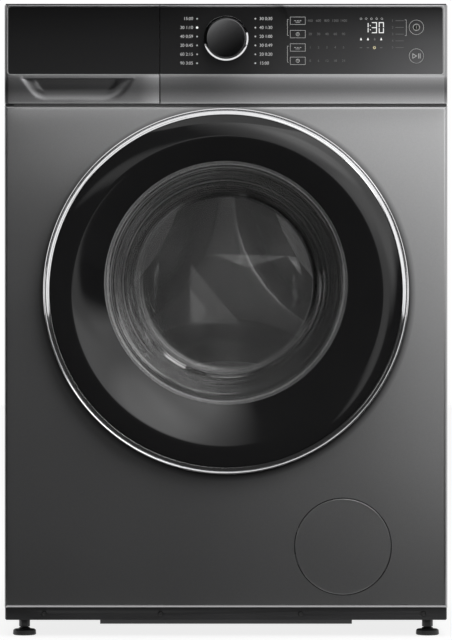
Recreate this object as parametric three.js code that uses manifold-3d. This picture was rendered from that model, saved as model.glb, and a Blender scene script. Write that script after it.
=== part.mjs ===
// A front-loading washing machine as separate parts, in millimetres: +X to the right, +Y to the rear, +Z up.
// The origin is on the floor, in the middle of the width and of the overall depth.
import * as THREE from "three";
import { ConvexGeometry } from "three/addons/geometries/ConvexGeometry.js";
import { mergeVertices } from "three/addons/utils/BufferGeometryUtils.js";
import Module from "manifold-3d";

const wasm = await Module();
wasm.setup();

// ---------------------------------------------------------------- driving dimensions

// Cabinet
const width = 595;
const height = 850;
const bodyDepth = 514; // front panel's face to rear panel's face
const doorProud = 35; // the door's crest stands this far in front of the front panel
const rearProud = 16; // the access cover and connections stand this far behind the rear panel
const sheet = 1.2; // steel sheet
const seam = 0.4; // play between pieces that touch
const edgeRadius = 5; // upright edges of the front
const faceDepth = 15; // the front pieces wrap this far round the sides
const flange = 10; // folded edges of the side panels
const worktopThickness = 18;
const lipThickness = 1.3; // the worktop's front lip, over the console
const groundClearance = 22; // floor to base
const plinthHeight = 17;
const plinthSetback = 10;
const baseWall = 3;
const baseRim = 38;
const dripPanDrop = 5.5;
const dripPanWidth = 339;

// Console and detergent drawer
const consoleHeight = 132.6;
const consoleGap = 2.2; // shadow gap above the front panel
const consoleWall = 4.4;
const lensHeight = 90.5;
const lensThickness = 2;
const lensTopMargin = 2.6;
const lensSideMargin = 6.5;
const lensCorner = 4;
const drawerFrontWidth = 208.2;
const drawerGap = 1;
const drawerReach = 28; // drawer front's face to the tray
const gripTopWidth = 166;
const gripBottomWidth = 112;
const gripHeight = 29;
const gripDepth = 24;
const gripWall = 2.4;
const gripMargin = 16.5; // cabinet side to the grip's upper corner
const trayWidth = 176;
const trayLength = 200;
const trayHeight = 70;
const trayWall = 2.2;
const trayMargin = 21.5; // cabinet side to the tray
const trayTopDrop = 38; // worktop to the tray's rim
const slideClearance = 2;
const housingWall = 2.2;

// Knob and push buttons
const knobDrop = 43.3; // lens top to the knob's axis
const knobRadius = 26.9;
const knobRingRadius = 30;
const knobDepth = 20;
const knobShaftRadius = 3.5;
const buttonRadius = 10;
const buttonClearance = 0.4;
const buttonInset = 41.9; // cabinet side to the buttons' centres
const powerButtonDrop = 27.3; // lens top to the power button's centre
const startButtonDrop = 65.8;
const buttonThickness = 4;
const plungerRadius = 3;

// Door
const doorRadius = 244;
const trimWidth = 6.2;
const trimDepth = 5.5;
const crestMargin = 37; // door's edge to the crest
const crestDrop = 2; // the crest's circle lies this far below the door's centre
const windowMargin = 81; // door's edge to the window
const windowRise = 11.3; // the window's circle, the tub and the drum lie this far above it
const bezelFallOut = 5.5; // crest to the bezel's outer edge, in depth
const bezelFallIn = 19; // crest to the window's edge, in depth
const bezelWall = 2.6;
const glassWall = 5;
const bowlDepth = 112;
const bowlTaper = 51; // the bowl's end is this much smaller in radius than the window
const frameWall = 5.5;
const frameStandOff = 4.5; // door's back to the front panel's face
const frameChamfer = 7;
const openingMargin = 58; // door's edge to the front panel's opening
const hingeInset = 16; // hinge axis to the door's left edge
const hingeStandOff = 20.5; // hinge axis to the front panel's face
const hingePinRadius = 3;
const hingeEarSpan = 64;
const hingeEarWidth = 10;
const catchInset = 39; // door's edge to the catch

// Service flap and drain pump
const flapX = 157;
const flapHeight = 121.3;
const flapRadius = 64.4;
const flapGap = 1.2;
const flapThickness = 3;
const flapHingeInset = 4.9;
const flapBlockWidth = 28;
const pumpRadius = 34;
const pumpDrop = 8; // flap's centre to the pump's axis
const pumpRecess = 20; // front panel's face to the pump's front
const pumpLength = 92;
const pumpMotorRadius = 26;
const pumpMotorLength = 45;
const pumpPortRadius = 14;
const filterRadius = 25;
const filterLength = 50;
const filterGrip = 9;
const hoseRadius = 11;
const sumpHoseRadius = 16;

// Rear: access opening, water inlet, drain outlet, mains gland and holes for the transit screws
const accessWidth = 380;
const accessLow = 150;
const accessTopDrop = 210; // worktop to the opening's top
const accessCorner = 60;
const inletInset = 112.5; // cabinet's side to the inlet
const inletDrop = 65;
const inletRadius = 13.2;
const inletBore = 9;
const outletInset = 57.5;
const outletDrop = 110;
const outletHoseGap = 46; // riser of the drain hose to the rear panel's face
const glandInset = 62.5;
const glandHeight = 150;
const glandRadius = 8;
const leadRadius = 4;
const transitInset = 72.5;
const transitLow = 260;
const transitTopDrop = 160;
const transitRadius = 11;

// Tub, drum and drive
const tubSideGap = 29.5; // tub to the cabinet's side
const tubRise = 29.8; // tub's top above the front panel's top
const tubWall = 6;
const mouthGap = 21; // front panel's opening to the tub's mouth
const tubFrontGap = 41; // front panel's back to the tub's front wall
const tubFlange = 8;
const tubFrontLength = 205;
const collarLength = 12;
const hubRadius = 44;
const hubLength = 36;
const bearingRadius = 26;
const shaftRadius = 15;
const drumGap = 28; // drum's wall to the tub's outside
const drumLip = 10; // tub's mouth to the drum's mouth
const drumFrontGap = 6; // tub's front wall to the drum's lip
const drumLength = 304;
const drumSheet = 1.6;
const lifterHeight = 52;
const lifterBase = 64;
const starMargin = 35; // drum's wall to the tips of the star embossed in its back
const starRise = 14;
const starSlope = 22;
const starTopHalf = 14;
const starTopWaist = 38;
const starBaseHalf = 40;
const starBaseWaist = 80;
const spiderDepth = 20;
const spiderGap = 7; // spider to the tub's rear wall
const pulleyRadius = 140;
const pulleyWidth = 12;
const beltThickness = 3.5;
const motorRadius = 45;
const motorLength = 110;
const motorPulleyRadius = 15;
const motorX = 110;
const motorReach = 37.3; // tub's lowest level to the motor's axis
const springRadius = 11;
const springWire = 2;
const springTurns = 5;
const springInset = 65.5; // cabinet's side to the springs
const springY = 25;
const hangerDrop = 61; // worktop to the spring hangers
const damperX = 170;
const damperY = -20;
const damperRadius = 14;
const damperRodRadius = 6;
const weightInset = 219.5; // cabinet's side to the top weight
const weightLength = 165;
const weightForward = 70; // tub's seam to the top weight's front
const weightRise = 54;
const fillInset = 76; // tray's side to the fill spout
const fillReach = 159.5; // tray's front to the fill spout
const frontWeightDepth = 34;
const frontWeightBand = 44;

// Feet
const footRadius = 15.7;
const footPadHeight = 8;
const footInset = 25; // foot axis to the cabinet's side
const footDepthInset = 36;
const stemRadius = 5;
const lockNutWidth = 13;
const lockNutHeight = 10.6;

// ---------------------------------------------------------------- levels and planes

const frontY = -(bodyDepth + doorProud + rearProud) / 2 + doorProud;
const rearY = frontY + bodyDepth;
const sideX = width / 2;
const insideX = sideX - sheet - seam;
const panelBottom = groundClearance + plinthHeight;
const worktopBottom = height - worktopThickness;
const consoleTop = height - lipThickness - seam;
const consoleBottom = consoleTop - consoleHeight;
const panelTop = consoleBottom - consoleGap;
const lensTop = consoleTop - lensTopMargin;
const lensBottom = lensTop - lensHeight;
const knobHeight = lensTop - knobDrop;
const buttonX = sideX - buttonInset;
const buttonHeights = { power_button: lensTop - powerButtonDrop, start_button: lensTop - startButtonDrop };
const lensFront = frontY + 0.2;
const drawerRight = -sideX + drawerFrontWidth;
const consoleLeft = drawerRight + drawerGap;
const tubRadius = sideX - tubSideGap;
const axisHeight = panelTop + tubRise - tubRadius; // drum axis and window centre
const doorHeight = axisHeight - windowRise; // door's centre
const crestRadius = doorRadius - crestMargin;
const windowRadius = doorRadius - windowMargin;
const bowlFaceRadius = windowRadius - bowlTaper;
const panelOpeningRadius = doorRadius - openingMargin;
const catchX = doorRadius - catchInset;
const tubMouthRadius = panelOpeningRadius - mouthGap;
const drumMouthRadius = tubMouthRadius - drumLip;
const drumRadius = tubRadius - drumGap;
const tubFrontY = frontY + sheet + tubFrontGap;
const tubSeamY = tubFrontY + tubFrontLength;
const drumFrontY = tubFrontY + tubWall + drumFrontGap;
const drumBackY = drumFrontY + drumLength;
const tubRearY = drumBackY + drumSheet + seam + spiderDepth + spiderGap + tubWall;
const springX = sideX - springInset;
const motorHeight = axisHeight - tubRadius - motorReach;
const pulleyY = tubRearY + hubLength + 8;
const trayTop = worktopBottom - (trayTopDrop - worktopThickness);
const trayBottom = trayTop - trayHeight;
const trayLeft = -sideX + trayMargin;
const trayRight = trayLeft + trayWidth;
const trayFront = frontY + drawerReach;
const trayBack = trayFront + trayLength;
const fillX = trayLeft + fillInset;
const fillY = trayFront + fillReach;
const housingBottom = trayBottom - slideClearance - housingWall;
const frameY = trayFront + 2; // the console's set-back frame round the drawer

// ---------------------------------------------------------------- geometry helpers

const TAU = 2 * Math.PI;

/** A closed manifold-3d solid of a geometry, or the solid itself. */
function solid(shape) {
  if (shape instanceof wasm.Manifold) return shape;
  const bare = shape.clone();
  bare.deleteAttribute("normal");
  bare.deleteAttribute("uv");
  const merged = mergeVertices(bare, 1e-4);
  return new wasm.Manifold(
    new wasm.Mesh({
      numProp: 3,
      vertProperties: new Float32Array(merged.attributes.position.array),
      triVerts: new Uint32Array(merged.index.array),
    }),
  );
}

const join = (first, ...more) => more.reduce((made, s) => made.add(solid(s)), solid(first));
const cut = (first, ...more) => more.reduce((made, s) => made.subtract(solid(s)), solid(first));

/** The geometry of a solid, or the geometry itself. */
function geometryOf(shape) {
  if (!(shape instanceof wasm.Manifold)) return shape;
  const made = shape.getMesh();
  const geometry = new THREE.BufferGeometry();
  geometry.setAttribute("position", new THREE.BufferAttribute(new Float32Array(made.vertProperties), 3));
  geometry.setIndex(new THREE.BufferAttribute(new Uint32Array(made.triVerts), 1));
  geometry.computeVertexNormals();
  return geometry;
}

const span = ([a, b]) => ({ length: Math.abs(b - a), middle: (a + b) / 2 });

/** A block between two values on each axis. */
function block(xs, ys, zs) {
  const [x, y, z] = [span(xs), span(ys), span(zs)];
  return new THREE.BoxGeometry(x.length, y.length, z.length).translate(x.middle, y.middle, z.middle);
}

/** Round rods along Y, Z and X. */
function rodY(x, z, radius, ys, sides = 20) {
  const y = span(ys);
  return new THREE.CylinderGeometry(radius, radius, y.length, sides).translate(x, y.middle, z);
}
function rodZ(x, y, radius, zs, sides = 16) {
  const z = span(zs);
  return new THREE.CylinderGeometry(radius, radius, z.length, sides)
    .rotateX(Math.PI / 2)
    .translate(x, y, z.middle);
}
function rodX(y, z, radius, xs, sides = 16) {
  const x = span(xs);
  return new THREE.CylinderGeometry(radius, radius, x.length, sides)
    .rotateZ(Math.PI / 2)
    .translate(x.middle, y, z);
}

const signedArea = (points) =>
  points.reduce((sum, [r, y], i) => {
    const [r2, y2] = points[(i + 1) % points.length];
    return sum + (r * y2 - r2 * y) / 2;
  }, 0);

/** A ring or disc about Y from a closed [radius, y, rise] outline; rise lifts that circle's centre. */
function spin(outline, sides = 40) {
  const turned = signedArea(outline) < 0 ? [...outline].reverse() : outline;
  const before = (i) => turned[(i + turned.length - 1) % turned.length];
  const onAxis = turned.findIndex(([r], i) => r === 0 && before(i)[0] === 0);
  const ordered = onAxis < 0 ? turned : [...turned.slice(onAxis), ...turned.slice(0, onAxis)];
  const ring = onAxis < 0 ? [...ordered, ordered[0]] : ordered;
  const geometry = new THREE.LatheGeometry(
    ring.map(([r, y]) => new THREE.Vector2(r, y)),
    sides,
  );
  const position = geometry.attributes.position;
  for (let i = 0; i < position.count; i++) {
    position.setZ(i, position.getZ(i) + (ring[i % ring.length][2] ?? 0));
  }
  return geometry;
}

/** The same about a vertical axis, from a closed [radius, z] outline. */
const spinUpright = (outline, sides) =>
  spin(
    outline.map(([r, z]) => [r, z]),
    sides,
  )
    .rotateX(Math.PI / 2);

/** A flat outline in X and Z, made solid between two Y values. */
function plateY(shape, ys, curveSegments = 4) {
  const y = span(ys);
  const made = new THREE.ExtrudeGeometry(shape, { depth: y.length, bevelEnabled: false, curveSegments });
  return made.rotateX(Math.PI / 2).translate(0, Math.max(...ys), 0);
}

/** A rounded rectangle in X and Z; radii are for the left and the right corners. */
function roundedRectangle([x0, x1], [z0, z1], left, right = left) {
  const shape = new THREE.Shape();
  shape.moveTo(x0 + left, z0);
  shape.lineTo(x1 - right, z0);
  if (right) shape.absarc(x1 - right, z0 + right, right, -Math.PI / 2, 0);
  shape.lineTo(x1, z1 - right);
  if (right) shape.absarc(x1 - right, z1 - right, right, 0, Math.PI / 2);
  shape.lineTo(x0 + left, z1);
  if (left) shape.absarc(x0 + left, z1 - left, left, Math.PI / 2, Math.PI);
  shape.lineTo(x0, z0 + left);
  if (left) shape.absarc(x0 + left, z0 + left, left, Math.PI, 1.5 * Math.PI);
  return shape;
}

/** A front piece with rounded upright edges: a U or L in plan, made solid between two heights. */
function wrapFront([x0, x1], wall, zs, roundLeft, roundRight) {
  const back = frontY + faceDepth;
  const shape = new THREE.Shape();
  const leftRadius = roundLeft ? edgeRadius : 0;
  const rightRadius = roundRight ? edgeRadius : 0;
  shape.moveTo(x0, back);
  shape.lineTo(x0, frontY + leftRadius);
  if (roundLeft) shape.absarc(x0 + leftRadius, frontY + leftRadius, leftRadius, Math.PI, 1.5 * Math.PI);
  shape.lineTo(x1 - rightRadius, frontY);
  if (roundRight) shape.absarc(x1 - rightRadius, frontY + rightRadius, rightRadius, -Math.PI / 2, 0);
  shape.lineTo(x1, back);
  shape.lineTo(x1 - wall, back);
  const inRight = Math.max(rightRadius - wall, 0);
  shape.lineTo(x1 - wall, frontY + wall + inRight);
  if (inRight) shape.absarc(x1 - wall - inRight, frontY + wall + inRight, inRight, 0, -Math.PI / 2, true);
  const inLeft = Math.max(leftRadius - wall, 0);
  shape.lineTo(x0 + wall + inLeft, frontY + wall);
  if (inLeft) shape.absarc(x0 + wall + inLeft, frontY + wall + inLeft, inLeft, 1.5 * Math.PI, Math.PI, true);
  shape.lineTo(x0 + wall, back);
  const z = span(zs);
  return new THREE.ExtrudeGeometry(shape, { depth: z.length, bevelEnabled: false, curveSegments: 4 })
    .translate(0, 0, Math.min(...zs));
}

/** A round tube or wire along a smooth curve. */
function alongCurve(curve, radius, sides, steps) {
  const section = new THREE.Shape();
  section.absarc(0, 0, radius, 0, TAU);
  const points = section.getSpacedPoints(sides).slice(0, sides);
  const options = { steps, bevelEnabled: false, extrudePath: curve };
  return new THREE.ExtrudeGeometry(new THREE.Shape(points), options);
}

const curveThrough = (points) =>
  new THREE.CatmullRomCurve3(points.map((p) => new THREE.Vector3(...p)), false, "centripetal");

// ---------------------------------------------------------------- materials

const finish = (color, roughness, metalness) =>
  new THREE.MeshStandardMaterial({ color, roughness, metalness });
const paint = finish(0x77787a, 0.38, 0.6);
const darkPaint = finish(0x3a3b3d, 0.45, 0.4);
const glossBlack = finish(0x111112, 0.08, 0);
const mattBlack = finish(0x161617, 0.6, 0);
const chrome = finish(0xe2e3e4, 0.12, 1);
const steel = finish(0xb9babb, 0.3, 1);
const galvanised = finish(0x9a9c9e, 0.45, 0.9);
const glass = finish(0x4a4d50, 0.03, 0);
const rubber = finish(0x5a5c5e, 0.7, 0);
const blackRubber = finish(0x1b1b1c, 0.75, 0);
const tubPlastic = finish(0xa8a9a6, 0.6, 0);
const whitePlastic = finish(0xdedfdc, 0.45, 0);
const greyPlastic = finish(0x8d8f90, 0.5, 0);
const concrete = finish(0x8f8d88, 0.9, 0);
const castAluminium = finish(0xa6a8aa, 0.5, 0.9);
const boardGreen = finish(0x2f5a3c, 0.5, 0);

/** A named part made of one finish. */
function part(name, shape, material) {
  const mesh = new THREE.Mesh(geometryOf(shape), material);
  mesh.name = name;
  return mesh;
}

/** A group at a place, holding its parts. */
function assembly(place, ...parts) {
  const group = new THREE.Group();
  group.position.set(...place);
  group.add(...parts);
  return group;
}

// ---------------------------------------------------------------- cabinet

const hangerZ = height - hangerDrop;
const sideTop = worktopBottom - seam;
const sideFrontY = frontY + faceDepth + 1;

/** One side panel, with folded edges and a hanger for its suspension spring. side is -1 or 1. */
function sidePanel(side) {
  const outer = side * sideX;
  const inward = (reach) => [outer, side * (sideX - reach)];
  const zs = [groundClearance, sideTop];
  const rearFold = rearY - sheet - seam;
  return cut(
    join(
      block(inward(sheet), [sideFrontY, rearY], zs),
      block(inward(flange), [sideFrontY, sideFrontY + sheet], [groundClearance + baseRim + seam, sideTop]),
      block(inward(flange), [rearFold - sheet, rearFold], [groundClearance + baseRim + seam, sideTop]),
      block(inward(flange), [sideFrontY, rearFold], [sideTop - sheet, sideTop]),
      block(inward(sideX - springX + 18), [springY - 20, springY + 20], [hangerZ, hangerZ + 3]),
      block(inward(8), [springY - 20, springY + 20], [hangerZ - 30, hangerZ + 3]),
    ),
    rodZ(side * springX, springY, 3, [hangerZ - 1, hangerZ + 4], 8),
  );
}

const flapStopY = frontY + flapThickness + seam;

/** A tab behind the front sheet, on which the closed service flap rests. */
function flapStop() {
  const edge = flapX + flapRadius;
  const zs = [flapHeight - 12, flapHeight + 12];
  return join(
    block([edge - 6, edge + 10], [flapStopY, flapStopY + 2], zs),
    block([edge + 5, edge + 10], [frontY + sheet / 2, flapStopY + 2], zs),
  );
}

/** The front sheet, with the door's opening, the catch's slot and the flap's hole. */
function frontPanel() {
  const inner = sideX - sheet - 0.6;
  const folds = [frontY + sheet / 2, frontY + faceDepth];
  const through = [frontY - 5, frontY + faceDepth - 2];
  return cut(
    join(
      wrapFront([-sideX, sideX], sheet, [panelBottom, panelTop], true, true),
      block([-inner, inner], folds, [panelBottom, panelBottom + sheet]),
      block([-inner, inner], folds, [panelTop - sheet, panelTop]),
      flapStop(),
    ),
    rodY(0, axisHeight, panelOpeningRadius, through, 44),
    block([catchX - 8, catchX + 11], through, [doorHeight - 12, doorHeight + 12]),
    rodY(flapX, flapHeight, flapRadius + flapGap, [frontY - 5, flapStopY], 40),
  );
}

/** The worktop, whose thin front lip covers the console. */
function worktop() {
  const boardFront = frontY + faceDepth + 1;
  return join(
    block([-sideX, sideX], [boardFront, rearY], [worktopBottom, height]),
    block([-sideX + 1.5, sideX - 1.5], [frontY + 0.6, boardFront + 1], [height - lipThickness, height]),
  );
}

const footPlaces = [-1, 1].flatMap((side) => [
  [side * (sideX - footInset), frontY + footDepthInset],
  [side * (sideX - footInset), rearY - footDepthInset],
]);
const screwHeight = groundClearance + plinthHeight / 2;

/** The base: front rail, side and rear rims, floor, drip pan, foot bosses and seats for pump and dampers. */
function baseFrame() {
  const back = rearY - sheet - seam;
  const rail = frontY + plinthSetback;
  const floor = [groundClearance, groundClearance + baseWall];
  const rim = [groundClearance, groundClearance + baseRim];
  const rimFront = frontY + faceDepth + 1 + sheet + seam;
  const bosses = footPlaces.map(([x, y]) => rodZ(x, y, 15, [groundClearance, groundClearance + 30], 12));
  const bores = footPlaces.map(([x, y]) => rodZ(x, y, stemRadius + 0.5, [0, groundClearance + 40], 10));
  const damperSeats = [-1, 1].map((side) =>
    block(
      [side * (damperX - 16), side * (damperX + 16)],
      [damperY - 16, damperY + 16],
      [groundClearance, groundClearance + 24],
    ),
  );
  const screwHoles = [-0.411, -0.148, 0.169, 0.446].map((share) =>
    rodY(share * width, screwHeight, 2.2, [rail - 1, rail + baseWall + 1], 10),
  );
  return cut(
    join(
      block([-insideX, insideX], [rail, back], floor),
      block([-insideX, insideX], [rail, rail + baseWall], [groundClearance, panelBottom - seam]),
      block([-insideX, -insideX + baseWall], [rimFront, back], rim),
      block([insideX - baseWall, insideX], [rimFront, back], rim),
      block([-insideX, insideX], [back - baseWall, back], rim),
      block(
        [-dripPanWidth / 2, dripPanWidth / 2],
        [rail + 4, rearY - 70],
        [groundClearance - dripPanDrop, groundClearance + 1],
      ),
      ...damperSeats,
      ...bosses,
    ),
    ...bores,
    ...screwHoles,
  );
}

const accessHigh = height - accessTopDrop;
const inletX = -sideX + inletInset;
const inletHeight = height - inletDrop;
const outletX = sideX - outletInset;
const outletHeight = height - outletDrop;
const glandX = -sideX + glandInset;
const transitX = sideX - transitInset;
const transitHeights = [transitLow, height - transitTopDrop];

/** The rear sheet with its access opening and the holes for water, drain and mains. */
function rearPanel() {
  const ys = [rearY - sheet, rearY];
  const through = [rearY - 5, rearY + 5];
  const transitHoles = [-1, 1].flatMap((side) =>
    transitHeights.map((z) => rodY(side * transitX, z, transitRadius, through, 8)),
  );
  return cut(
    block([-insideX, insideX], ys, [groundClearance, sideTop]),
    plateY(
      roundedRectangle([-accessWidth / 2, accessWidth / 2], [accessLow, accessHigh], accessCorner),
      through,
    ),
    rodY(inletX, inletHeight, inletRadius + 1.8, through, 14),
    rodY(outletX, outletHeight, hoseRadius + 3, through, 14),
    rodY(glandX, glandHeight, glandRadius + 1, through, 10),
    ...transitHoles,
  );
}

/** The removable cover over the access opening: a flat rim and a raised pan. */
function rearAccessCover() {
  const rim = 14;
  const inset = 8;
  const near = rearY + seam;
  const far = rearY + rearProud;
  const xs = (grow) => [-accessWidth / 2 - grow, accessWidth / 2 + grow];
  const zs = (grow) => [accessLow - grow, accessHigh + grow];
  return cut(
    join(
      plateY(roundedRectangle(xs(rim), zs(rim), accessCorner + 10), [near, near + sheet]),
      plateY(roundedRectangle(xs(-inset), zs(-inset), accessCorner - inset), [near, far]),
    ),
    plateY(
      roundedRectangle(xs(-inset - sheet), zs(-inset - sheet), accessCorner - inset - sheet),
      [near - 1, far - sheet],
    ),
  );
}

/** The water inlet valve on the rear panel: threaded neck, body and two coils. */
function inletValve() {
  const inside = rearY - sheet - seam;
  const coils = [-16, 16].map((dx) => rodY(inletX + dx, inletHeight - 8, 13, [inside - 62, inside - 28], 14));
  return cut(
    join(
      block([inletX - 32, inletX + 32], [inside - 4, inside], [inletHeight - 20, inletHeight + 20]),
      block([inletX - 26, inletX + 26], [inside - 30, inside], [inletHeight - 18, inletHeight + 14]),
      rodY(inletX, inletHeight, inletRadius, [inside - 10, rearY + rearProud - 2]),
      ...coils,
    ),
    rodY(inletX, inletHeight, inletBore, [rearY - 12, rearY + rearProud], 16),
  );
}

/** The mains lead's gland in the rear panel, with its bore for the lead. */
function cableGland() {
  return cut(
    join(
      rodY(glandX, glandHeight, glandRadius + 5, [rearY + seam, rearY + 4], 12),
      rodY(glandX, glandHeight, glandRadius, [rearY - 12, rearY + 11], 16),
    ),
    rodY(glandX, glandHeight, leadRadius, [rearY - 20, rearY + 20], 10),
  );
}

// ---------------------------------------------------------------- console

const lensXs = [consoleLeft, sideX - lensSideMargin];
const lensZs = [lensBottom, lensTop];

/** The console's painted frame: face, lens pocket, board posts and the set-back frame round the drawer. */
function consoleFascia() {
  const pocketGap = 0.3;
  const webs = [frontY + 1, frontY + faceDepth];
  const inner = sideX - consoleWall / 2;
  const zs = [consoleBottom, consoleTop];
  const postXs = [boardXs[0] + 10.3, boardXs[1] - 45.5];
  const posts = postXs.flatMap((x) =>
    [lensTop - 22, consoleBottom + 34].map((z) =>
      rodY(x, z, postRadius, [frontY + consoleWall - 1, boardY - seam], 8),
    ),
  );
  const knobHole = rodY(0, knobHeight, knobShaftRadius + 5, [frontY - 5, frontY + faceDepth], 16);
  const buttonHoles = Object.values(buttonHeights).map((z) =>
    rodY(buttonX, z, buttonRadius + buttonClearance + 0.4, [frontY - 5, frontY + faceDepth], 24),
  );
  const frameLeft = -sideX + flange + 3;
  const frameXs = [frameLeft, consoleLeft + 6];
  const opening = block(
    [trayLeft - slideClearance, trayRight + slideClearance],
    [frameY - 5, frameY + 9],
    [trayBottom - slideClearance, trayTop + slideClearance],
  );
  return cut(
    join(
      cut(
        join(
          wrapFront([consoleLeft - 20, sideX], consoleWall, zs, false, true),
          block([consoleLeft, inner], webs, [consoleBottom, consoleBottom + 3]),
          block([consoleLeft, inner], webs, [consoleTop - 2, consoleTop]),
        ),
        block(
          [consoleLeft - 30, consoleLeft],
          [frontY - 5, frontY + faceDepth + 25],
          [consoleBottom - 5, consoleTop + 5],
        ),
        plateY(
          roundedRectangle(
            [lensXs[0] - 20, lensXs[1] + pocketGap],
            [lensBottom - pocketGap, lensTop + pocketGap],
            lensCorner,
          ),
          [frontY - 1, lensFront + lensThickness + pocketGap],
        ),
        knobHole,
        ...buttonHoles,
      ),
      block(
        [consoleLeft, consoleLeft + 6],
        [frontY + consoleWall - 0.5, frameY + 4],
        [consoleBottom, sideTop - 2],
      ),
      cut(block(frameXs, [frameY, frameY + 4], [consoleBottom + 4, sideTop - 2]), opening),
      ...posts,
    ),
  );
}

/** The glossy lens of the console, with the holes for the knob's shaft and the two buttons. */
function consoleLens() {
  const ys = [lensFront, lensFront + lensThickness];
  const through = [lensFront - 5, lensFront + 5];
  const buttonHoles = Object.values(buttonHeights).map((z) =>
    rodY(buttonX, z, buttonRadius + buttonClearance, through, 28),
  );
  return cut(
    plateY(roundedRectangle(lensXs, lensZs, 0, lensCorner), ys),
    rodY(0, knobHeight, knobShaftRadius + 3, through, 16),
    ...buttonHoles,
  );
}

const boardY = frontY + 22;
const boardXs = [consoleLeft + 18, sideX - 20];
const boardBottom = consoleBottom + 22;
const boardThickness = 1.8;
const displayWidth = 75;
const displayDepth = 12;
const displayMargin = 30.6; // display to the buttons' centres
const encoderRadius = 9;
const encoderDepth = 8;
const postRadius = 3.5;
const powerParts = [
  { left: 20, width: 50, depth: 15, height: 40 },
  { left: 80, width: 40, depth: 10, height: 50 },
];

/** The control board: circuit board, display module, encoder and power parts. */
function controlBoard() {
  const top = sideTop - 4;
  const displayRight = buttonX - displayMargin;
  return cut(
    join(
      block(boardXs, [boardY, boardY + boardThickness], [boardBottom, top]),
      block(
        [displayRight - displayWidth, displayRight],
        [boardY - displayDepth, boardY + 0.5],
        [lensBottom + 12, top - 8],
      ),
      rodY(0, knobHeight, encoderRadius, [boardY - encoderDepth, boardY + 0.5], 20),
      ...powerParts.map(({ left, width: wide, depth, height: high }) =>
        block([left, left + wide], [boardY + 1, boardY + depth], [boardBottom + 6, boardBottom + 6 + high]),
      ),
    ),
    rodY(0, knobHeight, knobShaftRadius + seam, [boardY - 20, boardY + 0.2], 16),
  );
}

/** A push button: cap in the lens, collar behind the console's wall and plunger to the board. */
function pushButton() {
  const cap = [lensFront - frontY, lensFront - frontY + buttonThickness];
  return join(
    rodY(0, 0, buttonRadius, cap, 28),
    rodY(0, 0, plungerRadius, [cap[1] - 1, boardY - frontY - 1.6], 8),
  );
}

/** The program knob's cap and shaft. y is 0 at the lens, and the knob stands out towards -Y. */
function knobCap() {
  const face = -knobDepth;
  return spin([
    [0, face - 0.4],
    [knobRadius * 0.6, face - 0.2],
    [knobRadius - 2.2, face + 0.4],
    [knobRadius, face + 2.4],
    [knobRadius, -1.5],
    [knobShaftRadius, -1.5],
    [knobShaftRadius, boardY - frontY - 4],
    [0, boardY - frontY - 4],
  ], 30);
}

/** The bright ring round the knob. */
function knobRing() {
  const inner = knobRadius + 0.3;
  const front = -knobDepth + 4;
  return spin([
    [inner, front],
    [inner + 0.8, front - 0.6],
    [knobRingRadius - 0.9, front + 0.4],
    [knobRingRadius, front + 2],
    [knobRingRadius - 1.2, -1],
    [inner, -1],
  ], 30);
}

// ---------------------------------------------------------------- detergent drawer

const gripLeft = -sideX + gripMargin;
const gripTop = lensBottom - 5.2;
const gripSlant = (gripTopWidth - gripBottomWidth) / 2;

/** The finger grip's hollow, narrower at the back, or with grow above 0 the shell round it. */
function gripWell(grow) {
  const slopes = 16;
  const front = frontY - (grow ? -2 : 1);
  const back = frontY + gripDepth + grow;
  const upper = gripTop + grow;
  const lower = gripTop - gripHeight - grow;
  const left = gripLeft - grow;
  const right = gripLeft + gripTopWidth + grow;
  const corners = [
    [left, front, upper],
    [right, front, upper],
    [left + gripSlant, front, lower],
    [right - gripSlant, front, lower],
    [left + slopes, back, upper],
    [right - slopes, back, upper],
    [left + gripSlant + slopes, back, lower + 11],
    [right - gripSlant - slopes, back, lower + 11],
  ];
  return new ConvexGeometry(corners.map((c) => new THREE.Vector3(...c)));
}

/** The drawer's front: painted shell, lens pocket, finger grip and the bridge that carries the tray. */
function drawerFront() {
  const zs = [consoleBottom, consoleTop];
  const webXs = [-sideX + 2, drawerRight - 1];
  const webYs = [frontY + 1, frontY + faceDepth];
  const wall = consoleWall;
  const hollow = block(
    [-sideX + wall, drawerRight - wall],
    [frontY + wall, frontY + faceDepth + 1],
    [consoleBottom + 3, consoleTop - 2],
  );
  const bridge = block(
    [trayLeft + 8, trayRight - 8],
    [frontY + wall - 1, trayFront - seam],
    [trayTop - 34, trayTop - 10],
  );
  const shell = cut(
    join(
      wrapFront([-sideX, drawerRight], wall, zs, true, false),
      block(webXs, webYs, [consoleBottom, consoleBottom + 3]),
      block(webXs, webYs, [consoleTop - 2, consoleTop]),
    ),
    hollow,
  );
  return cut(
    join(shell, gripWell(gripWall), bridge),
    gripWell(0),
    plateY(
      roundedRectangle(
        [-sideX + lensSideMargin - 0.9 - 0.3, drawerRight + 20],
        [lensBottom - 0.3, lensTop + 0.3],
        lensCorner,
      ),
      [frontY - 1, lensFront + lensThickness + 0.3],
    ),
  );
}

/** The drawer's glossy lens. */
const drawerLens = () =>
  plateY(
    roundedRectangle([-sideX + lensSideMargin - 0.9, drawerRight], lensZs, lensCorner, 0),
    [lensFront, lensFront + lensThickness],
  );

const trayDividers = [0.3, 0.68]; // shares of the tray's width

/** The detergent tray: an open box with three compartments. */
function drawerTray() {
  const edges = [0, ...trayDividers, 1].map((share) => trayLeft + share * trayWidth);
  const wells = edges.slice(1).map((right, i) =>
    block(
      [edges[i] + (i ? trayWall / 2 : trayWall), right - (i < edges.length - 2 ? trayWall / 2 : trayWall)],
      [trayFront + trayWall, trayBack - trayWall],
      [trayBottom + trayWall, trayTop + 1],
    ),
  );
  const notch = block(
    [trayLeft - 1, trayRight + 1],
    [trayBack - trayWall - 1, trayBack + 1],
    [trayTop - 22, trayTop + 1],
  );
  return cut(block([trayLeft, trayRight], [trayFront, trayBack], [trayBottom, trayTop]), ...wells, notch);
}

const fillRadius = 16;
const spoutWall = 4;
const spoutLength = 14;

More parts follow.
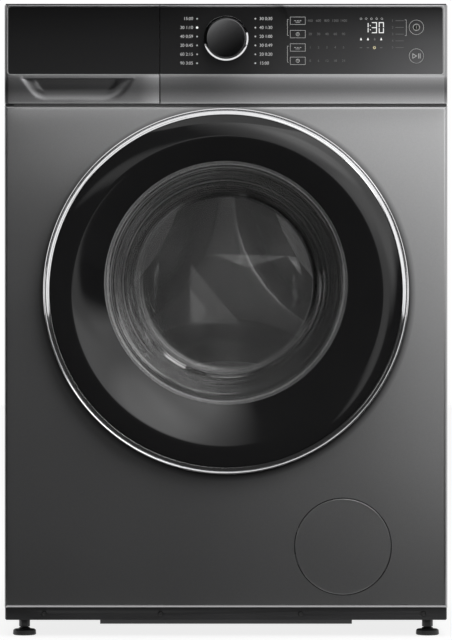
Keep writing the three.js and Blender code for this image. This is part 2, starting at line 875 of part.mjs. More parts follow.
/** The dispenser's housing, open at the front, with its outlet spout below. */
function dispenserHousing() {
  const reach = slideClearance + housingWall;
  const ys = [frameY + 4 + seam, trayBack + 8];
  return cut(
    join(
      block([trayLeft - reach, trayRight + reach], ys, [housingBottom, trayTop + reach]),
      rodZ(fillX, fillY, fillRadius + spoutWall, [housingBottom - spoutLength, housingBottom + 1], 20),
      rodY(trayLeft + 40, trayTop - 12, 8, [ys[1] - 1, ys[1] + 14], 16),
      rodY(trayLeft + 80, trayTop - 12, 8, [ys[1] - 1, ys[1] + 14], 16),
    ),
    block(
      [trayLeft - slideClearance, trayRight + slideClearance],
      [ys[0] - 1, ys[1] - housingWall],
      [trayBottom - slideClearance, trayTop + slideClearance],
    ),
    rodZ(fillX, fillY, fillRadius, [housingBottom - spoutLength - 1, trayBottom - 1], 20),
  );
}

// ---------------------------------------------------------------- door
// y is 0 at the front panel's face, x and z are 0 at the door's centre

const crestY = -doorProud;
const bezelOutY = crestY + bezelFallOut;
const windowY = crestY + bezelFallIn;
const bezelRadius = doorRadius - trimWidth - seam;
const trimFrontY = bezelOutY - 2;
const trimBackY = trimFrontY + trimDepth;
const glassFlangeY = windowY + bezelWall + seam;
const glassFlangeRadius = windowRadius + 8;
const hingeX = -doorRadius + hingeInset;

/** The glossy front ring: a convex outer band and a funnel down to the window, whose centres lie apart. */
const doorBezel = () =>
  spin([
    [bezelRadius, bezelOutY, 0],
    [(bezelRadius + crestRadius) / 2, crestY + bezelFallOut * 0.36, -crestDrop / 2],
    [crestRadius, crestY, -crestDrop],
    [windowRadius, windowY, windowRise],
    [windowRadius, windowY + bezelWall, windowRise],
    [crestRadius, crestY + bezelWall, -crestDrop],
    [bezelRadius, bezelOutY + bezelWall, 0],
  ], 48);

/** The bright trim round the door. */
const doorTrimRing = () =>
  spin([
    [doorRadius - trimWidth, trimFrontY],
    [doorRadius - 2.6, trimFrontY + 0.7],
    [doorRadius, trimFrontY + 2.6],
    [doorRadius, trimBackY],
    [doorRadius - trimWidth, trimBackY],
  ], 48);

/** The glass bowl: a flange behind the bezel and a deep bowl that reaches into the drum's mouth. */
function doorGlass() {
  const flangeBack = glassFlangeY + glassWall;
  const bowl = [
    [windowRadius - 8, glassFlangeY],
    [windowRadius - 21, glassFlangeY + 0.28 * bowlDepth],
    [bowlFaceRadius + 9, glassFlangeY + 0.84 * bowlDepth],
    [bowlFaceRadius - 10, glassFlangeY + 0.97 * bowlDepth],
    [0, glassFlangeY + bowlDepth],
  ];
  const outside = bowl
    .slice(1)
    .map(([r, y]) => (r ? [r + glassWall * 0.9, y + glassWall * 0.6] : [0, y + glassWall]));
  return spin([
    [glassFlangeRadius, glassFlangeY],
    ...bowl,
    ...outside.reverse(),
    [windowRadius - 2, flangeBack],
    [glassFlangeRadius, flangeBack],
  ], 40);
}

const frameBack = -frameStandOff;
const frameFront = trimBackY + seam;
const pocketXs = [-doorRadius - 2, hingeX + 38];
const earHalf = hingeEarSpan / 2 - hingeEarWidth;
const pocketZs = [earHalf - 1, hingeEarSpan / 2 + 3];
const armReach = 46;

/** The door's rear frame: side wall, web, ledge for the glass, hinge pocket and lugs for the catch. */
function doorInnerFrame() {
  const ledgeFront = glassFlangeY + glassWall + seam;
  const webFront = frameBack - frameWall;
  const ring = spin([
    [doorRadius - 0.6, frameFront],
    [doorRadius - 0.6, frameBack - frameChamfer + 1],
    [doorRadius - 0.6 - frameChamfer, frameBack],
    [windowRadius + 3, frameBack, windowRise],
    [windowRadius + 3, ledgeFront, windowRise],
    [glassFlangeRadius + 3, ledgeFront, windowRise],
    [glassFlangeRadius + 3, webFront, windowRise],
    [doorRadius - 5, webFront],
    [doorRadius - 5, frameFront],
  ], 40);
  const lug = (z0, z1) => block([catchX - 6, catchX + 6], [catchPivotY - 4, webFront + 1], [z0, z1]);
  return cut(
    join(ring, lug(10.5, 15), lug(-15, -10.5)),
    ...[-1, 1].map((side) => block(pocketXs, [frameFront - 1, 1], pocketZs.map((z) => side * z))),
    block([catchX - 8, catchX + 11], [webFront - 0.5, 1], [-9.5, 9.5]),
    rodZ(catchX, catchPivotY, 2.5 + seam, [-20, 20], 16),
  );
}

/** The door's half of the hinge: a plate on the web, a knuckle and the pin. */
function doorHingeArm() {
  const webFront = frameBack - frameWall;
  const pinY = -hingeStandOff;
  return join(
    block([hingeX, hingeX + armReach], [webFront - seam - 4, webFront - seam], [-earHalf + 2, earHalf - 2]),
    block([hingeX - 5, hingeX + 5], [pinY, webFront - seam], [-earHalf + 2, earHalf - 2]),
    rodZ(hingeX, pinY, 6.5, [-earHalf + 2, earHalf - 2]),
    rodZ(hingeX, pinY, hingePinRadius, [-hingeEarSpan / 2 - 2, hingeEarSpan / 2 + 2], 20),
  );
}

/** The cabinet's half of the hinge, in the door's frame: a plate on the panel with two goose-neck ears. */
function doorHingePlate() {
  const pinY = -hingeStandOff;
  const neck = [hingeX + 20, hingeX + 28];
  const ears = [
    [earHalf, hingeEarSpan / 2],
    [-hingeEarSpan / 2, -earHalf],
  ].map((zs) =>
    join(
      rodZ(hingeX, pinY, 6.5, zs),
      block([hingeX, neck[1]], [pinY - 3.5, pinY + 3.5], zs),
      block(neck, [pinY - 3.5, -seam], zs),
    ),
  );
  return cut(
    join(
      block([hingeX + 7, hingeX + 29.5], [-2.4, -seam], [-hingeEarSpan / 2 - 5, hingeEarSpan / 2 + 5]),
      ...ears,
    ),
    rodZ(hingeX, pinY, hingePinRadius + seam, [-hingeEarSpan, hingeEarSpan], 20),
  );
}

const catchPivotY = -16;

/** The sprung catch: pivot pin, blade and barb. */
function doorCatch() {
  const tip = 16;
  return join(
    rodZ(catchX, catchPivotY, 2.5, [-14.5, 14.5], 16),
    rodZ(catchX, catchPivotY, 4, [-8, 8], 16),
    block([catchX - 2.5, catchX + 2.5], [catchPivotY, tip], [-8, 8]),
    block([catchX, catchX + 7], [tip - 6, tip], [-8, 8]),
  );
}

/** The door lock behind the front panel, with the slot that takes the catch. */
function doorLock() {
  const front = frontY + sheet + seam;
  return cut(
    block([catchX - 14, catchX + 30], [front, front + 30], [doorHeight - 45, doorHeight + 45]),
    block([catchX - 9, catchX + 12], [front - 1, front + 22], [doorHeight - 12, doorHeight + 12]),
  );
}

/** The bellows seal between the front panel's opening and the tub's mouth. */
function doorGasket() {
  const outer = panelOpeningRadius - 1.4;
  const wall = 3.4;
  const collar = tubMouthRadius + tubWall + seam;
  const collarFront = tubFrontY - collarLength - seam;
  const lipRadius = windowRadius - 10;
  const fold = (frontY + collarFront) / 2;
  return spin([
    [panelOpeningRadius + 8, frontY - 2.8],
    [panelOpeningRadius + 8, frontY - seam],
    [outer, frontY - seam],
    [outer, collarFront - 8],
    [collar + 4.5, collarFront - 2],
    [collar + 4.5, tubFrontY - 1],
    [collar, tubFrontY - 1],
    [collar, collarFront],
    [collar - 4, collarFront - 3],
    [outer - wall, collarFront - 9],
    [outer - wall, fold + 2],
    [lipRadius, fold - 0.5],
    [lipRadius, fold - 3.6],
    [outer - wall, fold - 7],
    [outer - wall, frontY - 2.8],
  ], tubSides).translate(0, 0, axisHeight);
}

// ---------------------------------------------------------------- service flap and drain

/** The round flap over the pump's filter. x and z are 0 at its centre, y at the front panel's face. */
function serviceFlap() {
  const hinge = -flapRadius + flapHingeInset;
  return join(
    rodY(0, 0, flapRadius, [0, flapThickness], 40),
    block(
      [hinge - 1.5, hinge + 9],
      [flapThickness - 1, flapThickness + 3],
      [-flapBlockWidth / 2, flapBlockWidth / 2],
    ),
    block([flapRadius - 12, flapRadius - 9], [flapThickness - 1, flapThickness + 3.5], [-7, 7]),
  );
}

const pumpHeight = flapHeight - pumpDrop;
const pumpFront = frontY + pumpRecess;
const pumpBodyEnd = pumpFront + pumpLength;
const pumpInletX = flapX - pumpRadius - 16;
const pumpInletZ = pumpHeight + 6;
const pumpPortY = pumpBodyEnd - 15;
const sumpHoseLow = pumpInletZ - 40;
const pumpOutletX = flapX + pumpRadius + 12;
const pumpOutletZ = pumpHeight - 16;

/** The drain pump: filter housing, motor, ports and the foot that stands on the base. */
function drainPump() {
  const floor = groundClearance + baseWall + seam;
  return cut(
    join(
      rodY(flapX, pumpHeight, pumpRadius, [pumpFront, pumpBodyEnd], 24),
      rodY(flapX, pumpHeight, pumpMotorRadius, [pumpBodyEnd - 1, pumpBodyEnd + pumpMotorLength], 16),
      rodX(pumpPortY, pumpInletZ, pumpPortRadius, [pumpInletX, flapX], 12),
      rodX(pumpPortY, pumpOutletZ, hoseRadius - 2, [flapX, pumpOutletX], 12),
      block([flapX - 22, flapX + 22], [pumpFront + 12, pumpBodyEnd - 12], [floor, pumpHeight - 10]),
    ),
    rodY(flapX, pumpHeight, filterRadius + 0.8, [pumpFront - 1, pumpFront + filterLength + 6], 24),
  );
}

/** The filter: a plug with a grip across it, which screws into the pump. y is 0 at the pump's front. */
function pumpFilter() {
  return join(
    rodY(0, 0, filterRadius, [-2, filterLength], 20),
    rodY(0, 0, pumpRadius - 3, [-4, -0.6], 24),
    block([-filterRadius + 2, filterRadius - 2], [-filterGrip - 2, -2], [-4, 4]),
  );
}

/** The hose from the tub's sump to the pump. */
const sumpHose = () =>
  alongCurve(
    curveThrough([
      [sumpX, sumpY, sumpBottom - seam],
      [sumpX, sumpY, sumpBottom - 12],
      [sumpX, sumpY, sumpBottom - 24],
      [sumpX + 4, sumpY - 32, sumpHoseLow + 14],
      [sumpX + 12, sumpY - 88, sumpHoseLow],
      [pumpInletX - 66, pumpPortY + 44, sumpHoseLow + 8],
      [pumpInletX - 38, pumpPortY + 8, pumpInletZ - 10],
      [pumpInletX - 22, pumpPortY, pumpInletZ],
      [pumpInletX - 11, pumpPortY, pumpInletZ],
      [pumpInletX - seam, pumpPortY, pumpInletZ],
    ]),
    sumpHoseRadius,
    8,
    18,
  );

/** The drain hose from the pump along the base, up behind the tub and out of the rear panel. */
const drainHose = () =>
  alongCurve(
    curveThrough([
      [pumpOutletX + seam, pumpPortY, pumpOutletZ],
      [pumpOutletX + 6, pumpPortY, pumpOutletZ],
      [pumpOutletX + 12, pumpPortY, pumpOutletZ],
      [outletX - 4, pumpPortY + 30, pumpOutletZ - 12],
      [outletX, pumpPortY + 80, groundClearance + 50],
      [outletX, damperY + 60, groundClearance + 46],
      [outletX, rearY - 100, groundClearance + 52],
      [outletX, rearY - outletHoseGap - 6, groundClearance + 110],
      [outletX, rearY - outletHoseGap, outletHeight * 0.73],
      [outletX, rearY - outletHoseGap, outletHeight - 60],
      [outletX, rearY - 40, outletHeight - 26],
      [outletX, rearY - 26, outletHeight - 7],
      [outletX, rearY - 10, outletHeight],
      [outletX, rearY, outletHeight],
      [outletX, rearY + rearProud - 2, outletHeight],
    ]),
    hoseRadius,
    7,
    28,
  );

// ---------------------------------------------------------------- tub (x and z are 0 on the drum's axis)

const sumpX = 0;
const sumpY = tubSeamY + 40;
const sumpBottom = axisHeight - tubRadius - 20;
const innerRadius = tubRadius - tubWall;
const tubSides = 32;
const seatClearance = 0.6; // between two faceted rounds
const tubTop = axisHeight + Math.sqrt(tubRadius ** 2 - fillX ** 2); // tub's surface below the fill spout
const fillCollarTop = tubTop + 26;
const damperLugZ = axisHeight - Math.sqrt(tubRadius ** 2 - damperX ** 2) - 12;
const springLugZ = axisHeight + Math.sqrt(tubRadius ** 2 - (springX - 24) ** 2) - 2;

/** The tub's front half: front wall, mouth collar, flange, fill collar and damper lugs. */
function tubFront() {
  const back = tubSeamY - 0.2;
  const corner = 14;
  const shell = spin([
    [tubMouthRadius, tubFrontY - collarLength],
    [tubMouthRadius + tubWall, tubFrontY - collarLength],
    [tubMouthRadius + tubWall, tubFrontY],
    [tubRadius - corner, tubFrontY],
    [tubRadius, tubFrontY + corner],
    [tubRadius, back - 8],
    [tubRadius + tubFlange, back - 8],
    [tubRadius + tubFlange, back],
    [innerRadius, back],
    [innerRadius, tubFrontY + tubWall],
    [tubMouthRadius, tubFrontY + tubWall],
  ], tubSides);
  const inside = rodY(0, 0, innerRadius, [tubFrontY + tubWall + 1, tubSeamY + 50], tubSides);
  const lugs = [-1, 1].map((side) =>
    block(
      [side * (damperX - 11), side * (damperX + 11)],
      [damperY - 11, damperY + 11],
      [damperLugZ - axisHeight, damperLugZ - axisHeight + 45],
    ),
  );
  const collarFoot = tubTop - axisHeight - 50;
  const collarRim = fillCollarTop - axisHeight;
  const collar = rodZ(fillX, fillY, fillRadius + spoutWall, [collarFoot, collarRim], 20);
  const bore = rodZ(fillX, fillY, fillRadius, [collarFoot - 10, collarRim + 1], 20);
  return join(cut(join(shell, cut(join(...lugs, collar), inside)), bore));
}

const motorLugYs = [tubRearY - 84, tubRearY - 76];

/** The tub's rear half: shell, rear wall with ribs, bearing hub, sump spout, spring and motor lugs. */
function tubRear() {
  const front = tubSeamY + 0.2;
  const shell = spin([
    [innerRadius, front],
    [tubRadius + tubFlange, front],
    [tubRadius + tubFlange, front + 8],
    [tubRadius, front + 8],
    [tubRadius, tubRearY],
    [hubRadius, tubRearY],
    [hubRadius - 4, tubRearY + hubLength],
    [bearingRadius + seam, tubRearY + hubLength],
    [bearingRadius + seam, tubRearY - tubWall],
    [innerRadius, tubRearY - tubWall],
  ], tubSides);
  const ribs = [...Array(8).keys()].map((i) =>
    block([hubRadius - 6, tubRadius - 6], [tubRearY - 1, tubRearY + 12], [-2, 2])
      .rotateY((i * TAU) / 8 + TAU / 16),
  );
  const inside = rodY(0, 0, innerRadius, [tubSeamY - 50, tubRearY - tubWall - 0.5], tubSides);
  const springLugs = [-1, 1].map((side) =>
    block(
      [side * (springX - 34), side * (springX + 15)],
      [springY - 14, springY + 14],
      [springLugZ - axisHeight - 12, springLugZ - axisHeight],
    ),
  );
  const motorLug = block(
    [motorX - 42, motorX + 42],
    motorLugYs,
    [motorHeight + 30 - axisHeight, -tubRadius * 0.9],
  );
  const spout = rodZ(sumpX, sumpY, sumpHoseRadius + 4, [sumpBottom - axisHeight, -tubRadius + 20], 20);
  const spoutBore = rodZ(sumpX, sumpY, sumpHoseRadius, [sumpBottom - axisHeight - 1, -tubRadius + 30], 20);
  return cut(join(shell, ...ribs, cut(join(...springLugs, motorLug, spout), inside)), spoutBore);
}

/** The concrete weight on top of the tub, hollowed to its curve. */
function topCounterweight() {
  const front = tubSeamY - weightForward;
  return cut(
    block(
      [weightInset - sideX, sideX - weightInset],
      [front, front + weightLength],
      [tubRadius - 10.7, tubRadius + weightRise],
    ),
    rodY(0, 0, tubRadius + seatClearance, [tubFrontY, tubRearY], 72),
    rodY(0, 0, tubRadius + tubFlange + seatClearance, [tubSeamY - 10, tubSeamY + 10], 72),
  );
}

/** The concrete weight round the lower front of the tub's mouth. */
function frontCounterweight() {
  const from = (-155 * Math.PI) / 180;
  const to = (-25 * Math.PI) / 180;
  const shape = new THREE.Shape();
  const outer = tubRadius - 6;
  shape.absarc(0, 0, outer, from, to);
  shape.absarc(0, 0, outer - frontWeightBand, to, from, true);
  return plateY(shape, [tubFrontY - seam - frontWeightDepth, tubFrontY - seam], 14);
}

/** The pair of ball bearings in the hub, as one sleeve. */
const drumBearing = () =>
  spin([
    [shaftRadius + seam, tubRearY - tubWall + 2],
    [bearingRadius, tubRearY - tubWall + 2],
    [bearingRadius, tubRearY + hubLength - 2],
    [shaftRadius + seam, tubRearY + hubLength - 2],
  ], 20);

const driveY = [pulleyY, pulleyY + pulleyWidth];
const motorZ = motorHeight - axisHeight;

/** The motor: can, end bells and the ears that bolt to the tub's lug. */
function driveMotor() {
  const back = driveY[0] - 6;
  return cut(
    join(
      rodY(motorX, motorZ, motorRadius, [back - motorLength + 12, back - 10], 24),
      rodY(motorX, motorZ, motorRadius - 12, [back - motorLength, back], 20),
      block(
        [motorX - 36, motorX + 36],
        [motorLugYs[1] + seam, motorLugYs[1] + 12],
        [motorZ, motorZ + motorRadius - 2],
      ),
    ),
    rodY(motorX, motorZ, 6 + seam, [back - 30, back + 1], 10),
  );
}

/** The flat belt round the drum's pulley and the motor's. */
function driveBelt() {
  const distance = Math.hypot(motorX, motorZ);
  const lean = Math.atan2(motorZ, motorX);
  const loop = (grow) => {
    const big = pulleyRadius + grow;
    const small = motorPulleyRadius + grow;
    const open = Math.acos((big - small) / distance);
    const shape = new THREE.Shape();
    shape.absarc(0, 0, big, lean + open, lean - open + TAU);
    shape.absarc(motorX, motorZ, small, lean - open, lean + open);
    return shape;
  };
  const belt = loop(seam + beltThickness);
  belt.holes.push(new THREE.Path(loop(seam).getPoints(14)));
  return plateY(belt, [driveY[0] + 1, driveY[1] - 1], 14);
}

/** The motor's pulley and its shaft. */
const motorPulley = () =>
  join(
    rodY(0, 0, motorPulleyRadius, driveY, 20),
    rodY(0, 0, 6, [driveY[0] - 24, driveY[0] + 1], 10),
  );

// ---------------------------------------------------------------- drum (on its axis)

/** A solid between two outlines of [x, z] points with equal counts, each at its own y. */
function loftY(near, nearY, far, farY) {
  const count = near.length;
  const position = [...near.map(([x, z]) => [x, nearY, z]), ...far.map(([x, z]) => [x, farY, z])].flat();
  const faces = (outline) =>
    THREE.ShapeUtils.triangulateShape(outline.map(([x, z]) => new THREE.Vector2(x, z)), []);
  const index = [
    ...faces(near).flatMap(([a, b, c]) => [a, b, c]),
    ...faces(far).flatMap(([a, b, c]) => [a + count, c + count, b + count]),
    ...near.flatMap((_, i) => {
      const next = (i + 1) % count;
      return [i, i + count, next, next, i + count, next + count];
    }),
  ];
  const geometry = new THREE.BufferGeometry();
  geometry.setAttribute("position", new THREE.BufferAttribute(new Float32Array(position), 3));
  geometry.setIndex(index);
  return geometry;
}

/** A three-armed star outline, one arm up, with hollow curves between the arms. */
function starOutline(reach, halfWidth, waist, steps = 7) {
  const tip = (sign, arm) => {
    const along = Math.sqrt(reach ** 2 - halfWidth ** 2);
    const across = sign * halfWidth;
    return [along * Math.cos(arm) - across * Math.sin(arm), along * Math.sin(arm) + across * Math.cos(arm)];
  };
  return [0, 1, 2].flatMap((i) => {
    const arm = TAU / 4 + (i * TAU) / 3;
    const start = tip(1, arm);
    const end = tip(-1, arm + TAU / 3);
    const through = [waist * Math.cos(arm + TAU / 6), waist * Math.sin(arm + TAU / 6)];
    const pull = through.map((v, k) => 2 * v - (start[k] + end[k]) / 2);
    return [...Array(steps + 1).keys()].map((n) => {
      const t = n / steps;
      return start.map((v, k) => (1 - t) ** 2 * v + 2 * t * (1 - t) * pull[k] + t ** 2 * end[k]);
    });
  });
}

/** The drum's sheet: rolled front lip, wall and back with its embossed star. */
function drumShell() {
  const path = [
    [drumMouthRadius, drumFrontY + 6],
    [drumMouthRadius + 4, drumFrontY],
    [drumRadius - 12, drumFrontY + 4],
    [drumRadius, drumFrontY + 18],
    [drumRadius, drumBackY - 10],
    [drumRadius - 10, drumBackY],
    [0, drumBackY],
  ];
  const outward = path.map(([r, y], i) => {
    if (i > 4) return [r ? r + drumSheet * 0.4 : 0, y + drumSheet];
    if (i > 2) return [r + drumSheet, y - drumSheet * 0.5];
    return [r - (i ? 0 : drumSheet), y - drumSheet];
  });
  const star = loftY(
    starOutline(drumRadius - starMargin - starSlope * 0.6, starTopHalf, starTopWaist),
    drumBackY - starRise,
    starOutline(drumRadius - starMargin, starBaseHalf, starBaseWaist),
    drumBackY + drumSheet * 0.5,
  );
  return join(spin([...path, ...outward.reverse()], 36), star);
}

/** The cast spider: three arms, hub and shaft. */
function drumSpider() {
  const front = drumBackY + drumSheet + seam;
  const armReach = drumRadius - 14;
  const arms = [0, 1, 2].map((i) =>
    block([0, armReach], [front, front + spiderDepth], [-17, 17]).rotateY((-i * TAU) / 3 - TAU / 12),
  );
  return join(
    ...arms,
    rodY(0, 0, 40, [front, front + spiderDepth], 24),
    rodY(0, 0, shaftRadius, [front + spiderDepth - 1, driveY[1] + 6], 20),
  );
}

/** A lifter at the top of the drum: a ridge along the wall with sloping ends. */
function lifter() {
  const wallRadius = drumRadius - seam;
  const flat = Math.sqrt(wallRadius ** 2 - (lifterBase / 2) ** 2) - 0.6;
  const ridge = flat - lifterHeight;
  const front = drumFrontY + 26;
  const back = drumBackY - 16;
  const corners = [-1, 1].flatMap((side) => [
    [(side * lifterBase) / 2, front, flat],
    [(side * lifterBase) / 2, back, flat],
    [side * 15, front + 26, ridge + 8],
    [side * 15, back - 12, ridge + 8],
    [side * 8, front + 32, ridge],
    [side * 8, back - 16, ridge],
  ]);
  return new ConvexGeometry(corners.map((c) => new THREE.Vector3(...c)));
}

/** The drum's pulley: rim, five spokes and hub. */
function drumPulley() {
  const [near, far] = driveY;
  const rim = spin([
    [pulleyRadius - 9, near],
    [pulleyRadius, near],
    [pulleyRadius, far],
    [pulleyRadius - 9, far],
  ], 32);
  const spokes = [0, 1, 2, 3, 4].map((i) =>
    block([18, pulleyRadius - 4], [near + 3, far - 3], [-11, 11]).rotateY((i * TAU) / 5),
  );
  return cut(
    join(rim, ...spokes, rodY(0, 0, 26, driveY, 20)),
    rodY(0, 0, shaftRadius + seam, [near - 1, far + 1], 20),
  );
}

// ---------------------------------------------------------------- suspension

/** A coil spring between the side panel's hanger and the tub's lug. */
function suspensionSpring() {
  const low = springLugZ + springWire + seam;
  const high = hangerZ - springWire - seam;
  class Coil extends THREE.Curve {
    getPoint(t, target = new THREE.Vector3()) {
      const turn = t * springTurns * TAU;
      return target.set(springRadius * Math.cos(turn), springRadius * Math.sin(turn), low + t * (high - low));
    }
  }
  return alongCurve(new Coil(), springWire, 4, springTurns * 7);
}

const damperFloor = groundClearance + 24 + seam;
const damperTop = damperLugZ - 80;

/** The damper's cylinder, which stands on the base. */
const damperCylinder = () =>
  cut(
    rodZ(0, 0, damperRadius, [damperFloor, damperTop], 16),
    rodZ(0, 0, damperRodRadius + 1, [damperFloor + 25, damperTop + 1], 16),
  );

/** The damper's rod, which hangs from the tub. */
const damperRod = () =>
  join(
    rodZ(0, 0, damperRodRadius, [damperFloor + 45, damperLugZ - seam - 8], 16),
    rodZ(0, 0, damperRodRadius + 4, [damperLugZ - seam - 16, damperLugZ - seam], 16),
  );

/** The bellows between the dispenser's spout and the tub's collar. */
function fillHose() {
  const low = fillCollarTop + seam;
  const high = housingBottom - spoutLength - seam;
  const inner = fillRadius;
  const outer = fillRadius + spoutWall;
  const fold = (share) => low + share * (high - low);
  return spinUpright([
    [inner, low],
    [outer, low],
    [outer, fold(0.2)],
    [outer + 5, fold(0.35)],
    [outer, fold(0.5)],
    [outer + 5, fold(0.65)],
    [outer, fold(0.8)],
    [outer, high],
    [inner, high],
  ], 16).translate(fillX, fillY, 0);
}

// ---------------------------------------------------------------- feet

/** A levelling foot: pad, threaded stem and lock nut. Its origin is on the floor. */
function levellingFoot() {
  const nutBase = groundClearance - seam - lockNutHeight;
  const nutRadius = lockNutWidth / Math.sqrt(3);
  const hexagon = new THREE.CylinderGeometry(nutRadius, nutRadius, lockNutHeight, 6)
    .rotateX(Math.PI / 2)
    .translate(0, 0, nutBase + lockNutHeight / 2);
  return join(
    spinUpright([
      [0, 0],
      [footRadius, 0],
      [footRadius, footPadHeight - 1],
      [footRadius - 2, footPadHeight],
      [stemRadius, footPadHeight + 0.6],
      [stemRadius, nutBase + 1],
      [0, nutBase + 1],
    ], 16),
    hexagon,
    rodZ(0, 0, stemRadius - 0.5, [nutBase, groundClearance + 30], 8),
  );
}

// ---------------------------------------------------------------- assembly

const cabinet = assembly([0, 0, 0],
  part("left_side_panel", sidePanel(-1), paint),
  part("right_side_panel", sidePanel(1), paint),
  part("front_panel", frontPanel(), paint),
  part("worktop", worktop(), darkPaint),
  part("base_frame", baseFrame(), darkPaint),
  part("rear_panel", rearPanel(), galvanised),
  part("rear_access_cover", rearAccessCover(), galvanised),
  part("inlet_valve", inletValve(), whitePlastic),
  part("cable_gland", cableGland(), mattBlack),
  part("console_fascia", consoleFascia(), paint),
  part("console_lens", consoleLens(), glossBlack),
  part("control_board", controlBoard(), boardGreen),
  part("dispenser_housing", dispenserHousing(), whitePlastic),
  part("door_lock", doorLock(), mattBlack),
  part("door_gasket", doorGasket(), rubber),
  part("drain_pump", drainPump(), greyPlastic),
  part("drain_hose", drainHose(), greyPlastic),
  part("sump_hose", sumpHose(), blackRubber),
  part("fill_hose", fillHose(), blackRubber),
  assembly([0, frontY, doorHeight], part("door_hinge_plate", doorHingePlate(), steel)),
  assembly([-springX, springY, 0], part("spring_left", suspensionSpring(), steel)),
  assembly([springX, springY, 0], part("spring_right", suspensionSpring(), steel)),
  assembly([-damperX, damperY, 0], part("damper_left", damperCylinder(), mattBlack)),
  assembly([damperX, damperY, 0], part("damper_right", damperCylinder(), mattBlack)),
);

const door = assembly([0, frontY, doorHeight],
  part("door_bezel", doorBezel(), glossBlack),
  part("door_trim_ring", doorTrimRing(), chrome),
  assembly([0, 0, windowRise], part("door_glass", doorGlass(), glass)),
  part("door_inner_frame", doorInnerFrame(), mattBlack),
  part("door_hinge_arm", doorHingeArm(), steel),
  part("door_catch", doorCatch(), steel),
);

const drawer = assembly([0, 0, 0],
  part("drawer_front", drawerFront(), paint),
  part("drawer_lens", drawerLens(), glossBlack),
  part("drawer_tray", drawerTray(), greyPlastic),
);

const knob = assembly([0, frontY, knobHeight],
  part("program_knob", knobCap(), glossBlack),
  part("knob_ring", knobRing(), chrome),
);

const buttons = Object.entries(buttonHeights).map(([name, z]) =>
  assembly([buttonX, frontY, z], part(name, pushButton(), glossBlack)),
);

const tub = assembly([0, 0, axisHeight],
  part("tub_front", tubFront(), tubPlastic),
  part("tub_rear", tubRear(), tubPlastic),
  part("top_counterweight", topCounterweight(), concrete),
  part("front_counterweight", frontCounterweight(), concrete),
  part("drum_bearing", drumBearing(), steel),
  part("drive_motor", driveMotor(), castAluminium),
  part("drive_belt", driveBelt(), blackRubber),
  assembly([-damperX, damperY, -axisHeight], part("damper_rod_left", damperRod(), steel)),
  assembly([damperX, damperY, -axisHeight], part("damper_rod_right", damperRod(), steel)),
);

const drum = assembly([0, 0, axisHeight],
  part("drum_shell", drumShell(), steel),
  part("drum_spider", drumSpider(), castAluminium),
  part("drum_pulley", drumPulley(), castAluminium),
);
[1, 2, 3].forEach((number) => {
  const mesh = part(`lifter_${number}`, lifter(), steel);
  mesh.rotation.y = Math.PI - (number * TAU) / 3;
  drum.add(mesh);
});

const motorShaft = assembly([motorX, 0, motorHeight], part("motor_pulley", motorPulley(), steel));

const feet = ["front_left", "rear_left", "front_right", "rear_right"].map((name, i) =>
  assembly([...footPlaces[i], 0], part(`foot_${name}`, levellingFoot(), blackRubber)),
);

const flap = assembly([flapX, frontY, flapHeight], part("service_flap", serviceFlap(), paint));
const filter = assembly([flapX, pumpFront, pumpHeight], part("pump_filter", pumpFilter(), whitePlastic));

const machine = new THREE.Group();
machine.add(cabinet, door, drawer, knob, ...buttons, tub, drum, motorShaft, ...feet, flap, filter);

export default machine;
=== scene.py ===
"""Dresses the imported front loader: finer pieces, finishes for every node, a studio and a camera."""

import math

import bmesh
import bpy
from bpy.props import FloatProperty, FloatVectorProperty, PointerProperty
from mathutils import Matrix, Vector


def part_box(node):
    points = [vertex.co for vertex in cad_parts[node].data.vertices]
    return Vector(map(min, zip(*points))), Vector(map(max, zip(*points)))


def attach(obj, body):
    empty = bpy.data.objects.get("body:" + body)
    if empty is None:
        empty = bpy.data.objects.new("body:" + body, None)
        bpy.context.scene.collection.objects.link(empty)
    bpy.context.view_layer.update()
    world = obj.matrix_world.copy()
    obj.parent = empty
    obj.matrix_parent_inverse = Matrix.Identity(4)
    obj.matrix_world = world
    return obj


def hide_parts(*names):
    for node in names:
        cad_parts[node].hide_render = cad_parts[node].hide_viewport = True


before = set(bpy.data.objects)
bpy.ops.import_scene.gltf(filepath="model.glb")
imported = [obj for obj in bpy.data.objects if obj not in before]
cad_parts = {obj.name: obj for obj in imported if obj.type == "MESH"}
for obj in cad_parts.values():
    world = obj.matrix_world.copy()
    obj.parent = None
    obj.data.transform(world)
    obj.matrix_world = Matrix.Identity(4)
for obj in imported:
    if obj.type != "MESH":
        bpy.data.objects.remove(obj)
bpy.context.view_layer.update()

bl_info = {
    "name": "Front Loader Dresser",
    "version": (1, 0, 0),
    "blender": (4, 5, 0),
    "location": "3D View > Sidebar > Washer",
    "description": "Builds the finished look of a front loading washing machine on its packed frame",
    "category": "Object",
}

TINY = 1e-5
GRIP_DEPTH = 0.0085
UPRIGHT = Matrix.Rotation(math.pi / 2, 4, "X")


# ---------------------------------------------------------------- sizes and colours


def size(name, default, description):
    """A length that a user may change, in metres."""
    return FloatProperty(name=name, default=default, description=description, unit="LENGTH", precision=4)


def number(name, default, description):
    """A plain factor that a user may change."""
    return FloatProperty(name=name, default=default, description=description, precision=3, min=0)


def tint(name, default, description):
    """A colour that a user may change."""
    return FloatVectorProperty(
        name=name, default=default, description=description, size=3, subtype="COLOR", min=0, max=1
    )


class CabinetSizes(bpy.types.PropertyGroup):
    edge_radius: size("Edge radius", 0.0055, "Rounding of the front's upright edges")
    fold_radius: size("Fold radius", 0.0006, "Rounding of folded sheet edges")
    sheet: size("Sheet", 0.0008, "Thickness of the painted sheet")
    field_inset: size("Field inset", 0.055, "Side panel's edge to its pressed field")
    field_depth: size("Field depth", 0.0014, "Depth of the pressed field")


